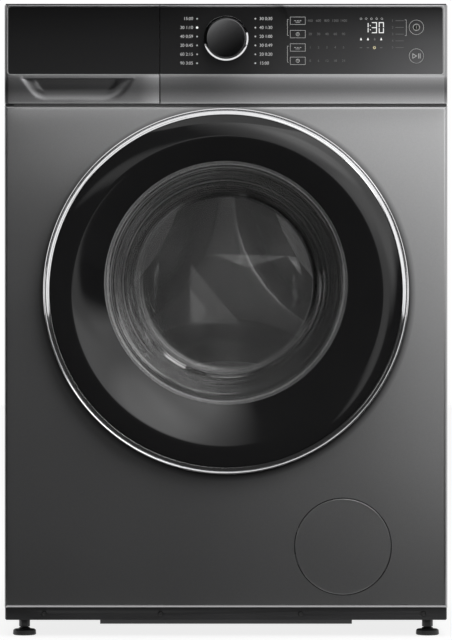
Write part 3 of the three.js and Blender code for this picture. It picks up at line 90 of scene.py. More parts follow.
class ConsoleSizes(bpy.types.PropertyGroup):
    trim_width: size("Trim width", 0.0024, "Lens edge to the outside of its light border")
    lens_gap: size("Lens gap", 0.0011, "Dark gap between the lens and its border")
    lens_corner: size("Lens corner", 0.004, "Corner radius of the lens")
    mark_depth: size("Mark depth", 0.00006, "Thickness of the printed marks")
    row_pitch: size("Row pitch", 0.01195, "Distance between two program rows")
    key_pitch: size("Key pitch", 0.01795, "Distance between two boxed keys")


class DoorSizes(bpy.types.PropertyGroup):
    crest_round: size("Crest rounding", 0.003, "Rounding of the bezel's crest")
    ripple: size("Glass ripple", 0.0004, "Height of the rings moulded into the bowl")
    trim_groove: size("Trim groove", 0.0008, "Depth of the groove in the bright ring")


class DrumSizes(bpy.types.PropertyGroup):
    hole_radius: size("Hole radius", 0.0019, "Radius of one hole in the drum's wall")
    hole_pitch: size("Hole pitch", 0.026, "Distance between two holes")


class Colours(bpy.types.PropertyGroup):
    paint: tint("Silver paint", (0.44, 0.44, 0.444), "Front, sides")
    console: tint("Console paint", (0.2, 0.2, 0.203), "Console frame and drawer front")
    board: tint("Worktop", (0.03, 0.03, 0.031), "Worktop laminate")
    base: tint("Base paint", (0.022, 0.022, 0.023), "Plinth and base")
    black: tint("Gloss black", (0.0095, 0.0095, 0.0098), "Bezel, lens and knob")
    seal: tint("Door seal", (0.16, 0.16, 0.165), "Bellows round the door")
    tub: tint("Tub", (0.5, 0.5, 0.48), "Outer tub")


class StudioSettings(bpy.types.PropertyGroup):
    distance: size("Camera distance", 4.5, "Camera to the machine's front")
    eye_height: size("Camera height", 0.4255, "Height of the camera's axis")
    view_height: size("View height", 0.859, "Height in view at the machine's front")
    key_level: number("Key light", 1.6, "Brightness of the round soft light")
    fill_level: number("Room light", 0.55, "Brightness of the room on matt surfaces")


GROUPS = {
    "washer_cabinet": CabinetSizes,
    "washer_console": ConsoleSizes,
    "washer_door": DoorSizes,
    "washer_drum": DrumSizes,
    "washer_colours": Colours,
    "washer_studio": StudioSettings,
}


# ---------------------------------------------------------------- shader sums


class Value:
    """A shader socket that takes part in Python sums."""

    def __init__(self, finish, socket):
        self.finish = finish
        self.socket = socket

    def sum(self, operation, first, second):
        return self.finish.node("ShaderNodeMath", {"operation": operation}, {0: first, 1: second})

    def __add__(self, other):
        return self.sum("ADD", self, other)

    def __sub__(self, other):
        return self.sum("SUBTRACT", self, other)

    def __rsub__(self, other):
        return self.sum("SUBTRACT", other, self)

    def __mul__(self, other):
        return self.sum("MULTIPLY", self, other)

    def __truediv__(self, other):
        return self.sum("DIVIDE", self, other)

    def __lt__(self, other):
        return self.sum("LESS_THAN", self, other)

    __radd__ = __add__
    __rmul__ = __mul__


class Finish:
    """One material and the nodes that make it."""

    def __init__(self, name):
        self.material = bpy.data.materials.new(name)
        self.material.use_nodes = True
        self.tree = self.material.node_tree
        self.tree.nodes.clear()

    def node(self, kind, settings=None, inputs=None, output=0):
        """Adds a node: its settings first, then the values or links of its sockets."""
        made = self.tree.nodes.new(kind)
        for key, value in (settings or {}).items():
            if key == "stops":
                ramp = made.color_ramp.elements
                while len(ramp) < len(value):
                    ramp.new(1.0)
                for element, (position, grey) in zip(ramp, value):
                    element.position = position
                    element.color = (grey, grey, grey, 1)
            else:
                setattr(made, key, value)
        for key, value in (inputs or {}).items():
            if isinstance(value, Value):
                self.tree.links.new(value.socket, made.inputs[key])
            else:
                made.inputs[key].default_value = value
        return Value(self, made.outputs[output])

    def place(self, centre=(0, 0, 0), scale=(1, 1, 1)):
        """Object coordinates, measured from a centre and stretched."""
        where = self.node("ShaderNodeTexCoord", output="Object")
        offset = [-c * s for c, s in zip(centre, scale)]
        return self.node("ShaderNodeMapping", None, {"Vector": where, "Location": offset, "Scale": scale})

    def noise(self, where, scale, detail=2.0, rough=0.5):
        settings = {"Vector": where, "Scale": scale, "Detail": detail, "Roughness": rough}
        return self.node("ShaderNodeTexNoise", None, settings)

    def rings(self, centre, scale, axis=1, detail=2.0):
        """Noise that changes only with the distance from an axis."""
        flat = [0 if i == axis else 1 for i in range(3)]
        where = self.place(centre, flat)
        radius = self.length(where)
        settings = {"W": radius, "Scale": scale, "Detail": detail}
        return self.node("ShaderNodeTexNoise", {"noise_dimensions": "1D"}, settings)

    def part(self, where, axis):
        """One coordinate of a place."""
        return self.node("ShaderNodeSeparateXYZ", None, {"Vector": where}, axis)

    def length(self, where):
        """How far a place is from its centre."""
        return self.node("ShaderNodeVectorMath", {"operation": "LENGTH"}, {0: where}, "Value")

    def mix(self, factor, dark, light):
        """A colour between two colours."""
        pick = {0: factor, 6: (*dark, 1), 7: (*light, 1)}
        return self.node("ShaderNodeMix", {"data_type": "RGBA"}, pick, 2)

    def ramp(self, factor, stops):
        return self.node("ShaderNodeValToRGB", {"stops": stops}, {"Fac": factor})

    def bump(self, height, strength, distance=0.001):
        inputs = {"Height": height, "Strength": strength, "Distance": distance}
        return self.node("ShaderNodeBump", None, inputs)

    def blend(self, share, first, second):
        """Two shaders, with the second one's share."""
        return self.node("ShaderNodeMixShader", None, {0: share, 1: first, 2: second})

    def surface(self, inputs):
        """The material's own shader."""
        return self.output(self.node("ShaderNodeBsdfPrincipled", None, inputs))

    def glow(self, colour, strength=1.0):
        """A surface that only gives light."""
        return self.output(self.node("ShaderNodeEmission", None, {"Color": colour, "Strength": strength}))

    def output(self, shader):
        """Links the last shader and gives the material."""
        end = self.tree.nodes.new("ShaderNodeOutputMaterial")
        self.tree.links.new(shader.socket, end.inputs["Surface"])
        return self.material


def shade(colour, factor):
    """A lighter or darker version of a colour."""
    return tuple(min(c * factor, 1.0) for c in colour)


# ---------------------------------------------------------------- finishes


def metallic_paint(name, colour, metal=0.98, rough=0.36, shadow_ring=None, shaded_band=None):
    """Satin paint with metal flakes; given a circle, a painted shadow round it; given a band, painted light
    and shade across its height and painted shade in the grip's hollow.
    """
    finish = Finish(name)
    where = finish.place()
    flake = finish.node("ShaderNodeTexVoronoi", None, {"Vector": where, "Scale": 1500.0}, "Color")
    cloud = finish.noise(where, 5.0, 3.0)
    peel = finish.noise(where, 380.0)
    glint = flake * 0.55 + cloud * 0.45
    light = None
    # Painted light and shade across the console band below the lens: lighter at its top and bottom edges,
    # darker in its middle.
    if shaded_band:
        base, top = shaded_band
        height = finish.part(finish.place((0, 0, base)), "Z")
        shade_bands = [(0.0, 1.0), (0.06, 0.62), (0.16, 0.5), (0.3, 0.36), (0.44, 0.26)]
        shade_bands += [(0.56, 0.23), (0.68, 0.26), (0.82, 0.34), (0.93, 0.45), (1.0, 0.7)]
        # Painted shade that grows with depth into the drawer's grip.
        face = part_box("drawer_front")[0].y
        hollow = finish.part(finish.place((0, face, 0)), "Y")
        light = finish.ramp(height / (top - base), shade_bands)
        light = light * finish.ramp(hollow / GRIP_DEPTH, [(0.1, 1.0), (0.95, 0.5)])
    # Painted shadow round the door: darkest at the ring's edge, fading out over the reach.
    if shadow_ring:
        centre, radius, reach = shadow_ring
        away = finish.length(finish.place(centre, (1, 0, 1)))
        light = finish.ramp((away - radius) / reach, [(0.0, 0.05), (0.45, 0.55), (1.0, 1.0)])
    tone = finish.mix(glint, shade(colour, 0.88), shade(colour, 1.13))
    if light:
        low = (*shade(colour, 0.0 if shaded_band else 0.1), 1)
        tone = finish.node("ShaderNodeMix", {"data_type": "RGBA"}, {0: light, 6: low, 7: tone}, 2)
    return finish.surface({
        "Base Color": tone,
        "Metallic": metal,
        "Roughness": cloud * 0.06 + flake * 0.05 + (rough - 0.055),
        "Normal": finish.bump(peel, 0.05, 0.0003),
    })


def powder_coat(name, colour):
    """Dark satin coat with a fine grain and a little dust."""
    finish = Finish(name)
    where = finish.place()
    grain = finish.noise(where, 900.0, 3.0)
    dust = finish.noise(where, 14.0, 4.0)
    return finish.surface({
        "Base Color": finish.mix(dust, shade(colour, 0.8), shade(colour, 1.35)),
        "Roughness": dust * 0.14 + 0.38,
        "Normal": finish.bump(grain, 0.18, 0.0003),
    })


def gloss_plastic(name, colour, rough=0.07):
    """Polished plastic with faint wipe marks."""
    finish = Finish(name)
    where = finish.place()
    wipe = finish.noise(where, 22.0, 5.0)
    wave = finish.noise(where, 9.0, 1.0)
    return finish.surface({
        "Base Color": finish.mix(wipe, shade(colour, 0.85), shade(colour, 1.15)),
        "Roughness": wipe * 0.05 + (rough - 0.02),
        "Normal": finish.bump(wave, 0.03, 0.001),
    })


def lens_plastic(name, low, high):
    """Smoked lens, from near black at the top to a dark grey towards the lower right."""
    finish = Finish(name)
    where = finish.place(low, [1 / (b - a) for a, b in zip(low, high)])
    wipe = finish.noise(finish.place(), 26.0, 4.0)
    height = finish.part(where, "Z")
    across = finish.part(where, "X")
    tone = finish.ramp(height, [(0.0, 1.0), (0.5, 0.6), (1.0, 0.0)])
    side = finish.ramp(across, [(0.0, 0.1), (0.55, 0.14), (0.8, 0.45), (1.0, 1.0)])
    lens_grade = finish.mix(tone * side, (0.007, 0.007, 0.0072), (0.125, 0.125, 0.128))
    return finish.surface({
        "Base Color": lens_grade,
        "Roughness": wipe * 0.06 + 0.22,
        "Specular IOR Level": 0.06,
    })


def moulded_plastic(name, colour, rough=0.5, grain=700.0):
    """Moulded plastic with a fine spark-eroded grain and soft marbling."""
    finish = Finish(name)
    where = finish.place()
    skin = finish.noise(where, grain, 3.0)
    marble = finish.noise(where, 18.0, 4.0)
    return finish.surface({
        "Base Color": finish.mix(marble, shade(colour, 0.9), shade(colour, 1.1)),
        "Roughness": marble * 0.12 + (rough - 0.06),
        "Normal": finish.bump(skin, 0.2, 0.0003),
    })


def spun_black(name, centre):
    """Black anodised metal with fine spun rings."""
    finish = Finish(name)
    ring = finish.rings(centre, 2600.0, 1, 2.0)
    cloud = finish.noise(finish.place(), 60.0, 3.0)
    return finish.surface({
        "Base Color": finish.mix(ring, (0.075, 0.075, 0.077), (0.11, 0.11, 0.112)),
        "Metallic": 1.0,
        "Roughness": ring * 0.06 + cloud * 0.03 + 0.1,
        "Normal": finish.bump(ring, 0.06, 0.0002),
    })


def chrome(name):
    """Bright plated trim with hairline streaks."""
    finish = Finish(name)
    where = finish.place()
    streak = finish.noise(where, 120.0, 4.0)
    return finish.surface({
        "Base Color": finish.mix(streak, (0.78, 0.78, 0.79), (0.88, 0.88, 0.89)),
        "Metallic": 1.0,
        "Roughness": streak * 0.08 + 0.05,
    })


def bowl_glass(name, centre):
    """Clear moulded glass whose rings catch the light, as a thin surface that lets light through; its grey
    haze is stronger towards the left as painted sheen, and a near-black layer paints a shadowed crescent
    towards the upper right of its end.
    """
    finish = Finish(name)
    ring = finish.rings(centre, 240.0, 1, 3.0)
    smear = finish.noise(finish.place(), 9.0, 4.0)
    flat = finish.place(centre, (1, 0, 1))
    away = finish.length(flat)
    across = finish.part(flat, "X")
    up = finish.part(flat, "Z")
    side = finish.ramp((away - 0.118) / 0.042, [(0.0, 0.0), (0.12, 0.75), (0.55, 1.0), (1.0, 0.8)])
    bump = finish.bump(ring * side, 0.1, 0.0008)
    streak = finish.ramp(finish.rings(centre, 520.0, 1, 4.0), [(0.4, 0.1), (0.6, 1.0)])
    # Painted sheen: the haze is stronger towards the left.
    sheen_side = finish.ramp((up * 0.35 - across) / away * 0.5 + 0.5, [(0.1, 0.35), (0.55, 0.6), (0.9, 1.0)])
    swirl = finish.ramp(smear, [(0.3, 0.5), (0.7, 1.0)])
    # Painted shadow: a near-black crescent towards the upper right, near the edge of the bowl's end.
    shadow_side = finish.ramp((across * 0.7 + up * 0.7) / away, [(0.2, 0.0), (0.6, 1.0)])
    corner = finish.ramp((away - 0.112) / 0.02, [(0.3, 0.0), (0.42, 1.0), (0.62, 1.0), (0.78, 0.0)])
    edge = finish.node("ShaderNodeFresnel", None, {"IOR": 1.5, "Normal": bump})
    clear = finish.node("ShaderNodeBsdfTransparent", None, {"Color": (0.96, 0.96, 0.96, 1)})
    shine = finish.node("ShaderNodeBsdfPrincipled", None, {
        "Base Color": (0.9, 0.9, 0.9, 1),
        "Metallic": 1.0,
        "Roughness": smear * 0.006 + 0.002,
        "Normal": bump,
    })
    haze = finish.node("ShaderNodeBsdfPrincipled", None, {
        "Base Color": (0.5, 0.5, 0.5, 1),
        "Metallic": 0.35,
        "Roughness": 0.3,
        "Normal": bump,
    })
    dark = finish.node("ShaderNodeBsdfDiffuse", None, {"Color": (0.006, 0.006, 0.006, 1)})
    # Moulded streaks in the haze, with painted sheen from the left.
    haze_and_sheen = side * streak * swirl * sheen_side * 0.7 + 0.04
    body = finish.blend(haze_and_sheen, clear, haze)
    body = finish.blend(shadow_side * corner * 0.85, body, dark)
    return finish.output(finish.blend(edge * 1.1 + 0.01, body, shine))


def drum_steel(name, centre, share=1.0):
    """Stainless sheet, turned: fine rings round the drum's axis; a share below one darkens it as painted
    shade.
    """
    finish = Finish(name)
    ring = finish.rings(centre, 700.0, 1, 3.0)
    broad = finish.rings(centre, 60.0, 1, 2.0)
    where = finish.place()
    cloud = finish.noise(where, 7.0, 3.0)
    tone = ring * 0.5 + broad * 0.3 + cloud * 0.2
    return finish.surface({
        "Base Color": finish.mix(tone, shade((0.46,) * 3, share), shade((0.62,) * 3, share)),
        "Metallic": 0.82,
        "Roughness": ring * 0.08 + cloud * 0.06 + 0.09,
        "Normal": finish.bump(ring, 0.03, 0.0003),
    })


def plain_steel(name, colour=(0.55, 0.55, 0.56), rough=0.3):
    """Drawn or turned steel with fine lines."""
    finish = Finish(name)
    where = finish.place((0, 0, 0), (1, 1, 0.06))
    line = finish.noise(where, 900.0, 3.0)
    stain = finish.noise(finish.place(), 25.0, 4.0)
    return finish.surface({
        "Base Color": finish.mix(stain, shade(colour, 0.8), shade(colour, 1.1)),
        "Metallic": 1.0,
        "Roughness": line * 0.15 + stain * 0.1 + (rough - 0.1),
        "Normal": finish.bump(line, 0.1, 0.0002),
    })


def zinc_sheet(name):
    """Galvanised sheet with its spangle."""
    finish = Finish(name)
    where = finish.place()
    crystal = finish.node("ShaderNodeTexVoronoi", None, {"Vector": where, "Scale": 85.0}, "Color")
    fine = finish.noise(where, 160.0, 4.0)
    tone = crystal * 0.7 + fine * 0.3
    return finish.surface({
        "Base Color": finish.mix(tone, (0.36, 0.37, 0.38), (0.58, 0.59, 0.6)),
        "Metallic": 0.9,
        "Roughness": crystal * 0.2 + fine * 0.1 + 0.25,
    })


def soft_rubber(name, colour):
    """Moulded rubber with a matt bloom and fine flow lines."""
    finish = Finish(name)
    where = finish.place()
    bloom = finish.noise(where, 30.0, 5.0)
    flow = finish.noise(finish.place((0, 0, 0), (1, 6, 1)), 120.0, 2.0)
    return finish.surface({
        "Base Color": finish.mix(bloom, shade(colour, 0.8), shade(colour, 1.15)),
        "Roughness": bloom * 0.15 + 0.55,
        "Normal": finish.bump(flow, 0.15, 0.0003),
        "Sheen Weight": 0.15,
    })


def cast_stone(name):
    """Poured concrete with pores and sand."""
    finish = Finish(name)
    where = finish.place()
    sand = finish.noise(where, 260.0, 5.0)
    patch = finish.noise(where, 12.0, 4.0)
    pore = finish.node("ShaderNodeTexVoronoi", None, {"Vector": where, "Scale": 90.0}) < 0.16
    tone = patch * 0.6 + sand * 0.4 - pore * 0.35
    return finish.surface({
        "Base Color": finish.mix(tone, (0.24, 0.235, 0.22), (0.52, 0.51, 0.48)),
        "Roughness": 0.9,
        "Normal": finish.bump(sand - pore, 0.5, 0.0008),
    })


def cast_metal(name, colour, rough=0.45):
    """Cast or painted metal with a sandy skin."""
    finish = Finish(name)
    where = finish.place()
    sand = finish.noise(where, 520.0, 4.0)
    stain = finish.noise(where, 16.0, 4.0)
    return finish.surface({
        "Base Color": finish.mix(stain, shade(colour, 0.8), shade(colour, 1.12)),
        "Metallic": 0.85,
        "Roughness": sand * 0.2 + (rough - 0.08),
        "Normal": finish.bump(sand, 0.35, 0.0004),
    })


def circuit_board(name):
    """Green board with copper tracks under the mask."""
    finish = Finish(name)
    where = finish.place()
    track = finish.node("ShaderNodeTexBrick", None, {"Vector": where, "Scale": 90.0}, "Fac")
    cloud = finish.noise(where, 30.0, 3.0)
    return finish.surface({
        "Base Color": finish.mix(track * 0.6 + cloud * 0.3, (0.02, 0.09, 0.035), (0.06, 0.2, 0.08)),
        "Roughness": cloud * 0.2 + 0.3,
        "Normal": finish.bump(track, 0.2, 0.0002),
    })


def laminate(name, colour):
    """Pressed laminate with a pearl grain."""
    finish = Finish(name)
    where = finish.place()
    pearl = finish.noise(where, 240.0, 5.0)
    cloud = finish.noise(where, 6.0, 3.0)
    return finish.surface({
        "Base Color": finish.mix(pearl * 0.7 + cloud * 0.3, shade(colour, 0.8), shade(colour, 1.2)),
        "Metallic": 0.35,
        "Roughness": pearl * 0.12 + 0.36,
        "Normal": finish.bump(pearl, 0.12, 0.0003),
    })


def printed(name, level):
    """Screen print: a little uneven, as ink on plastic is."""
    finish = Finish(name)
    ink = finish.noise(finish.place(), 800.0, 2.0)
    return finish.surface({
        "Base Color": finish.mix(ink, (level * 0.85,) * 3, (level * 1.1,) * 3),
        "Roughness": 0.5,
    })


def lit(name, colour, strength):
    """A lit part of the display."""
    finish = Finish(name)
    glow = finish.noise(finish.place(), 500.0, 1.0)
    return finish.surface({
        "Base Color": (0.02, 0.02, 0.02, 1),
        "Roughness": 0.3,
        "Emission Color": finish.mix(glow, shade(colour, 0.85), colour),
        "Emission Strength": strength,
    })


FINISHES = {}


def make_finishes(colours):
    """Every finish of the machine, by its slot."""
    lens_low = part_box("drawer_lens")[0]
    lens_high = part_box("console_lens")[1]
    axis = middle("drum_shell")
    trim_low, trim_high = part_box("door_trim_ring")
    # The painted shadow round the door is centred a little to the lower right, so it reaches further there.
    door = middle("door_trim_ring") + Vector((0.0018, 0, -0.0018))
    painted_door_shadow = (door, (trim_high.z - trim_low.z) / 2, 0.0095)
    # The console band below the lens, which gets painted bands of light and shade.
    shaded_band = (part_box("console_fascia")[0].z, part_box("console_lens")[0].z - 0.0024)
    recipes = {
        "silver_paint": (metallic_paint, colours.paint),
        # The side sheets' paint is a darker copy of the silver paint: painted shade.
        "side_paint": (metallic_paint, shade(colours.paint, 0.42)),
        "front_paint": (metallic_paint, colours.paint, 0.98, 0.36, painted_door_shadow),
        "console_paint": (metallic_paint, shade(colours.console, 2.9), 0.98, 0.36, None, shaded_band),
        "trim_paint": (metallic_paint, (0.5, 0.5, 0.505), 0.6, 0.35),
        "worktop_board": (laminate, colours.board),
        "frame_paint": (powder_coat, colours.base),
        "gloss_black": (gloss_plastic, colours.black),
        "lens_black": (lens_plastic, lens_low, lens_high),
        "cap_black": (spun_black, middle("program_knob")),
        "grey_dark": (moulded_plastic, (0.1, 0.1, 0.1), 0.45),
        "matt_black": (moulded_plastic, (0.012, 0.012, 0.0125), 0.5),
        "chrome_trim": (chrome,),
        "bowl_glass": (bowl_glass, middle("door_glass")),
        "stainless": (drum_steel, axis),
        # The star's steel is a darker copy of the drum's: painted shade.
        "star_steel": (drum_steel, axis, 0.66),
        "galvanised": (zinc_sheet,),
        "spring_steel": (plain_steel,),
        "seal_rubber": (soft_rubber, colours.seal),
        "black_rubber": (soft_rubber, (0.02, 0.02, 0.02)),
        "tub_plastic": (moulded_plastic, colours.tub, 0.6, 300.0),
        "white_plastic": (moulded_plastic, (0.72, 0.72, 0.7), 0.45),
        "grey_plastic": (moulded_plastic, (0.34, 0.35, 0.35), 0.5),
        "lifter_plastic": (moulded_plastic, (0.42, 0.42, 0.42), 0.42),
        "concrete": (cast_stone,),
        "cast_aluminium": (cast_metal, (0.5, 0.51, 0.52)),
        "motor_iron": (cast_metal, (0.16, 0.16, 0.165), 0.4),
        "circuit_board": (circuit_board,),
        "mark_grey": (printed, 0.6),
        "mark_dim": (printed, 0.12),
        "lit_white": (lit, (1.0, 1.0, 1.0), 1.0),
        "lit_amber": (lit, (1.0, 0.9, 0.55), 0.8),
    }
    for name, (recipe, *values) in recipes.items():
        FINISHES[name] = recipe(name, *values)


# ---------------------------------------------------------------- modelling helpers


def middle(node):
    """The centre of a node's box."""
    low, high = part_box(node)
    return (low + high) / 2


def block(bm, low, high):
    """A box between two corners."""
    low = Vector(low)
    high = Vector(high)
    verts = bmesh.ops.create_cube(bm, size=1.0)["verts"]
    bmesh.ops.scale(bm, vec=high - low, verts=verts)
    bmesh.ops.translate(bm, vec=(low + high) / 2, verts=verts)


def only(parts, sort):
    """The parts of one sort out of an operator's answer."""
    return [part for part in parts if isinstance(part, sort)]


def ribbon(bm, points, vec):
    """A sheet that sweeps a line of points along a vector."""
    verts = [bm.verts.new(point) for point in points]
    edges = [bm.edges.new(pair) for pair in zip(verts, verts[1:])]
    across = bmesh.ops.extrude_edge_only(bm, edges=edges)["geom"]
    bmesh.ops.translate(bm, vec=vec, verts=only(across, bmesh.types.BMVert))


def edges_at(bm, test):
    """The edges whose two ends both pass a test."""
    return [edge for edge in bm.edges if all(test(vert.co) for vert in edge.verts)]


def soften(bm, edges, width, segments=3):
    """Rounds edges by a width."""
    bmesh.ops.bevel(
        bm,
        geom=edges,
        offset=width,
        segments=segments,
        profile=0.5,
        affect="EDGES",
        clamp_overlap=True,
        material=-1,
    )


def soften_front(bm, low, high, case, upright):
    """Rounds a front's upright edges whose x passes a test, then its top and bottom rims."""
    soften(bm, edges_at(bm, lambda p: p.y < low.y + TINY and upright(p.x)), case.edge_radius, 8)
    reach = low.y + case.edge_radius + TINY
    rims = edges_at(bm, lambda p: p.y < reach and (p.z > high.z - TINY or p.z < low.z + TINY))
    soften(bm, rims, case.fold_radius, 3)


def rounded(points, radius, steps=4, closed=False):
    """A path whose corners are rounded. radius is one number, or one for each point."""
    count = len(points)
    radii = radius if isinstance(radius, (list, tuple)) else [radius] * count
    path = []
    for i, point in enumerate(points):
        corner = Vector(point)
        if (not closed and i in (0, count - 1)) or not radii[i]:
            path.append(tuple(corner))
            continue
        before = Vector(points[i - 1]) - corner
        after = Vector(points[(i + 1) % count]) - corner
        start = corner + before * min(0.49, radii[i] / before.length)
        end = corner + after * min(0.49, radii[i] / after.length)
        for k in range(steps + 1):
            t = k / steps
            path.append(tuple(start * (1 - t) ** 2 + corner * (2 * t * (1 - t)) + end * t**2))
    return path


def circle_loop(bm, x, y, z, radius, segments):
    """A circle that faces the front, as a set of edges."""
    place = Matrix.Translation((x, y, z)) @ UPRIGHT
    made = bmesh.ops.create_circle(bm, segments=segments, radius=radius, matrix=place)
    return {edge for vert in made["verts"] for edge in vert.link_edges}


def corner_loop(bm, corners, radius, segments=6):
    """An outline through four corners, which are rounded, as a set of edges."""
    old_edges = set(bm.edges)
    old_faces = set(bm.faces)
    verts = [bm.verts.new(corner) for corner in corners]
    bm.faces.new(verts)
    bmesh.ops.bevel(
        bm, geom=verts, offset=radius, segments=segments, profile=0.5, affect="VERTICES", material=-1
    )
    loop = set(bm.edges) - old_edges
    bmesh.ops.delete(bm, geom=[f for f in bm.faces if f not in old_faces], context="FACES_ONLY")
    return loop


def skin(bm, loops, closed=False, start=False, end=False):
    """Bridges loops one after another, and fills the first or last if asked."""
    pairs = list(zip(loops, loops[1:]))
    if closed:
        pairs.append((loops[-1], loops[0]))
    for near, far in pairs:
        bmesh.ops.bridge_loops(bm, edges=list(near | far))
    for wanted, loop in ((start, loops[0]), (end, loops[-1])):
        if wanted:
            bmesh.ops.edgeloop_fill(bm, edges=list(loop))


def ring_skin(bm, rings, segments=128, closed=False, start=False, end=False):
    """A skin over circles given as (x, y, z, radius)."""
    loops = [circle_loop(bm, *ring, segments) for ring in rings]
    skin(bm, loops, closed, start, end)


def frame_corners(across, up, depth, axis="Y"):
    """Four corners of a rectangle: across and up are (low, high), depth its place along X or Y."""
    pairs = [(across[0], up[0]), (across[1], up[0]), (across[1], up[1]), (across[0], up[1])]
    if axis == "X":
        return [(depth, a, b) for a, b in pairs]
    return [(a, depth, b) for a, b in pairs]


def frame_skin(bm, rings, axis="Y", segments=6, **ends):
    """A skin over rounded rectangles given as (across, up, depth, corner)."""
    loops = [corner_loop(bm, frame_corners(a, u, d, axis), c, segments) for a, u, d, c in rings]
    skin(bm, loops, **ends)


def grown(span, by):
    """A (low, high) pair, wider by the same length at both ends."""
    return (span[0] - by, span[1] + by)


def turn(bm, profile, centre, axis="Y", steps=64, closed=False):
    """Spins (radius, along) points round an axis, "Y" or "Z", through the centre."""
    along = Vector((0, 1, 0)) if axis == "Y" else Vector((0, 0, 1))
    out = Vector((1, 0, 0))
    verts = [bm.verts.new(Vector(centre) + out * r + along * a) for r, a in profile]
    edges = [bm.edges.new(pair) for pair in zip(verts, verts[1:])]
    if closed:
        edges.append(bm.edges.new((verts[-1], verts[0])))
    bmesh.ops.spin(
        bm,
        geom=verts + edges,
        cent=centre,
        axis=along,
        angle=math.tau,
        steps=steps,
        use_merge=True,
    )


def flat_mesh(outlines, depth, rim=0.0, steps=2):
    """A plate from closed (x, z) outlines, the first the outer one, that faces the front at y 0."""
    curve = bpy.data.curves.new("Outline", "CURVE")
    curve.dimensions = "2D"
    curve.fill_mode = "BOTH"
    curve.extrude = depth / 2 - rim
    curve.bevel_depth = rim
    curve.bevel_resolution = steps
    curve.offset = -rim
    for outline in outlines:
        spline = curve.splines.new("POLY")
        spline.points.add(len(outline) - 1)
        for point, (x, z) in zip(spline.points, outline):
            point.co = (x, z, 0, 1)
        spline.use_cyclic_u = True
    holder = bpy.data.objects.new("Outline", curve)
    mesh = bpy.data.meshes.new_from_object(holder)
    bpy.data.objects.remove(holder)
    bpy.data.curves.remove(curve)
    mesh.transform(Matrix.Translation((0, depth / 2, 0)) @ UPRIGHT)
    return mesh


def add_mesh(bm, mesh, move=(0, 0, 0)):
    """Adds a mesh to a bmesh, moved, and drops it."""
    mesh.transform(Matrix.Translation(move))
    bm.from_mesh(mesh)
    bpy.data.meshes.remove(mesh)


def circle_points(x, z, radius, count):
    """Points round a circle in the front plane."""
    turns = [math.tau * k / count for k in range(count)]
    return [(x + radius * math.cos(a), z + radius * math.sin(a)) for a in turns]


def make_object(name, bm, finishes=(), heal=True):
    """An object from a bmesh, with its faces outwards."""
    if heal:
        bmesh.ops.remove_doubles(bm, verts=bm.verts, dist=TINY)
        bmesh.ops.recalc_face_normals(bm, faces=bm.faces)
    mesh = bpy.data.meshes.new(name)
    bm.to_mesh(mesh)
    bm.free()
    for finish in finishes:
        mesh.materials.append(FINISHES[finish])
    made = bpy.data.objects.new(name, mesh)
    bpy.context.scene.collection.objects.link(made)
    return made


def settle(piece, body, replaced=(), sharp=35.0, even=False):
    """Smooths a finished piece, puts it on its body and hides the parts it stands for."""
    piece.data.shade_smooth()
    piece.data.set_sharp_from_angle(angle=math.radians(sharp))
    if even:
        normals = piece.modifiers.new("Even shading", "WEIGHTED_NORMAL")
        normals.keep_sharp = True
    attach(piece, body)
    if replaced:
        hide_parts(*replaced)
    return piece


def add_piece(name, bm, body, slot, finish=None, replaced=(), sharp=35.0, even=False):
    """A new piece from a bmesh."""
    made = make_object(name, bm, [finish or slot])
    return settle(made, body, replaced, sharp, even)


def cut_out(piece, *tools):
    """Cuts tools out of a piece and drops the tools."""
    for tool in tools:
        step = piece.modifiers.new("Step", "BOOLEAN")
        step.operation = "DIFFERENCE"
        step.solver = "EXACT"
        step.object = tool
    finished = piece.evaluated_get(bpy.context.evaluated_depsgraph_get())
    mesh = bpy.data.meshes.new_from_object(finished)
    piece.modifiers.clear()
    old = piece.data
    piece.data = mesh
    mesh.name = old.name
    bpy.data.meshes.remove(old)
    for tool in tools:
        bpy.data.objects.remove(tool)


def rod_tool(x, z, radius, near, far, segments=96):
    """A round cutter along Y."""
    bm = bmesh.new()
    ring_skin(bm, [(x, near, z, radius), (x, far, z, radius)], segments, start=True, end=True)
    return make_object("Cutter", bm)


def block_tool(low, high):
    """A box cutter."""
    bm = bmesh.new()
    block(bm, low, high)
    return make_object("Cutter", bm)


def dress(node, finish, bevel=0.0006, sharp=40.0):
    """Gives a CAD node its finish, softened edges and smooth curves."""
    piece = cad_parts[node]
    piece.data.materials.clear()
    piece.data.materials.append(FINISHES[finish])
    piece.data.shade_smooth()
    weld = piece.modifiers.new("Weld", "WELD")
    weld.merge_threshold = TINY
    flat = piece.modifiers.new("Flat faces", "DECIMATE")
    flat.decimate_type = "DISSOLVE"
    flat.angle_limit = math.radians(0.5)
    if bevel:
        edge = piece.modifiers.new("Edges", "BEVEL")
        edge.width = bevel
        edge.segments = 2
        edge.limit_method = "ANGLE"
        edge.angle_limit = math.radians(sharp)
    split = piece.modifiers.new("Creases", "EDGE_SPLIT")
    split.split_angle = math.radians(sharp)


def write_mark(bm, text, x, z, height, y, depth, align="CENTER"):
    """Adds printed figures, centred on a height, to a bmesh."""
    curve = bpy.data.curves.new("Figures", "FONT")
    curve.body = text
    curve.size = height / 0.72
    curve.align_x = align
    curve.align_y = "CENTER"
    curve.extrude = depth / 2
    holder = bpy.data.objects.new("Figures", curve)
    mesh = bpy.data.meshes.new_from_object(holder)
    bpy.data.objects.remove(holder)
    bpy.data.curves.remove(curve)
    mesh.transform(UPRIGHT)
    add_mesh(bm, mesh, (x, y, z))


def bar_mark(bm, xs, zs, y, depth):
    """Adds a printed bar to a bmesh."""
    block(bm, (xs[0], y - depth / 2, zs[0]), (xs[1], y + depth / 2, zs[1]))


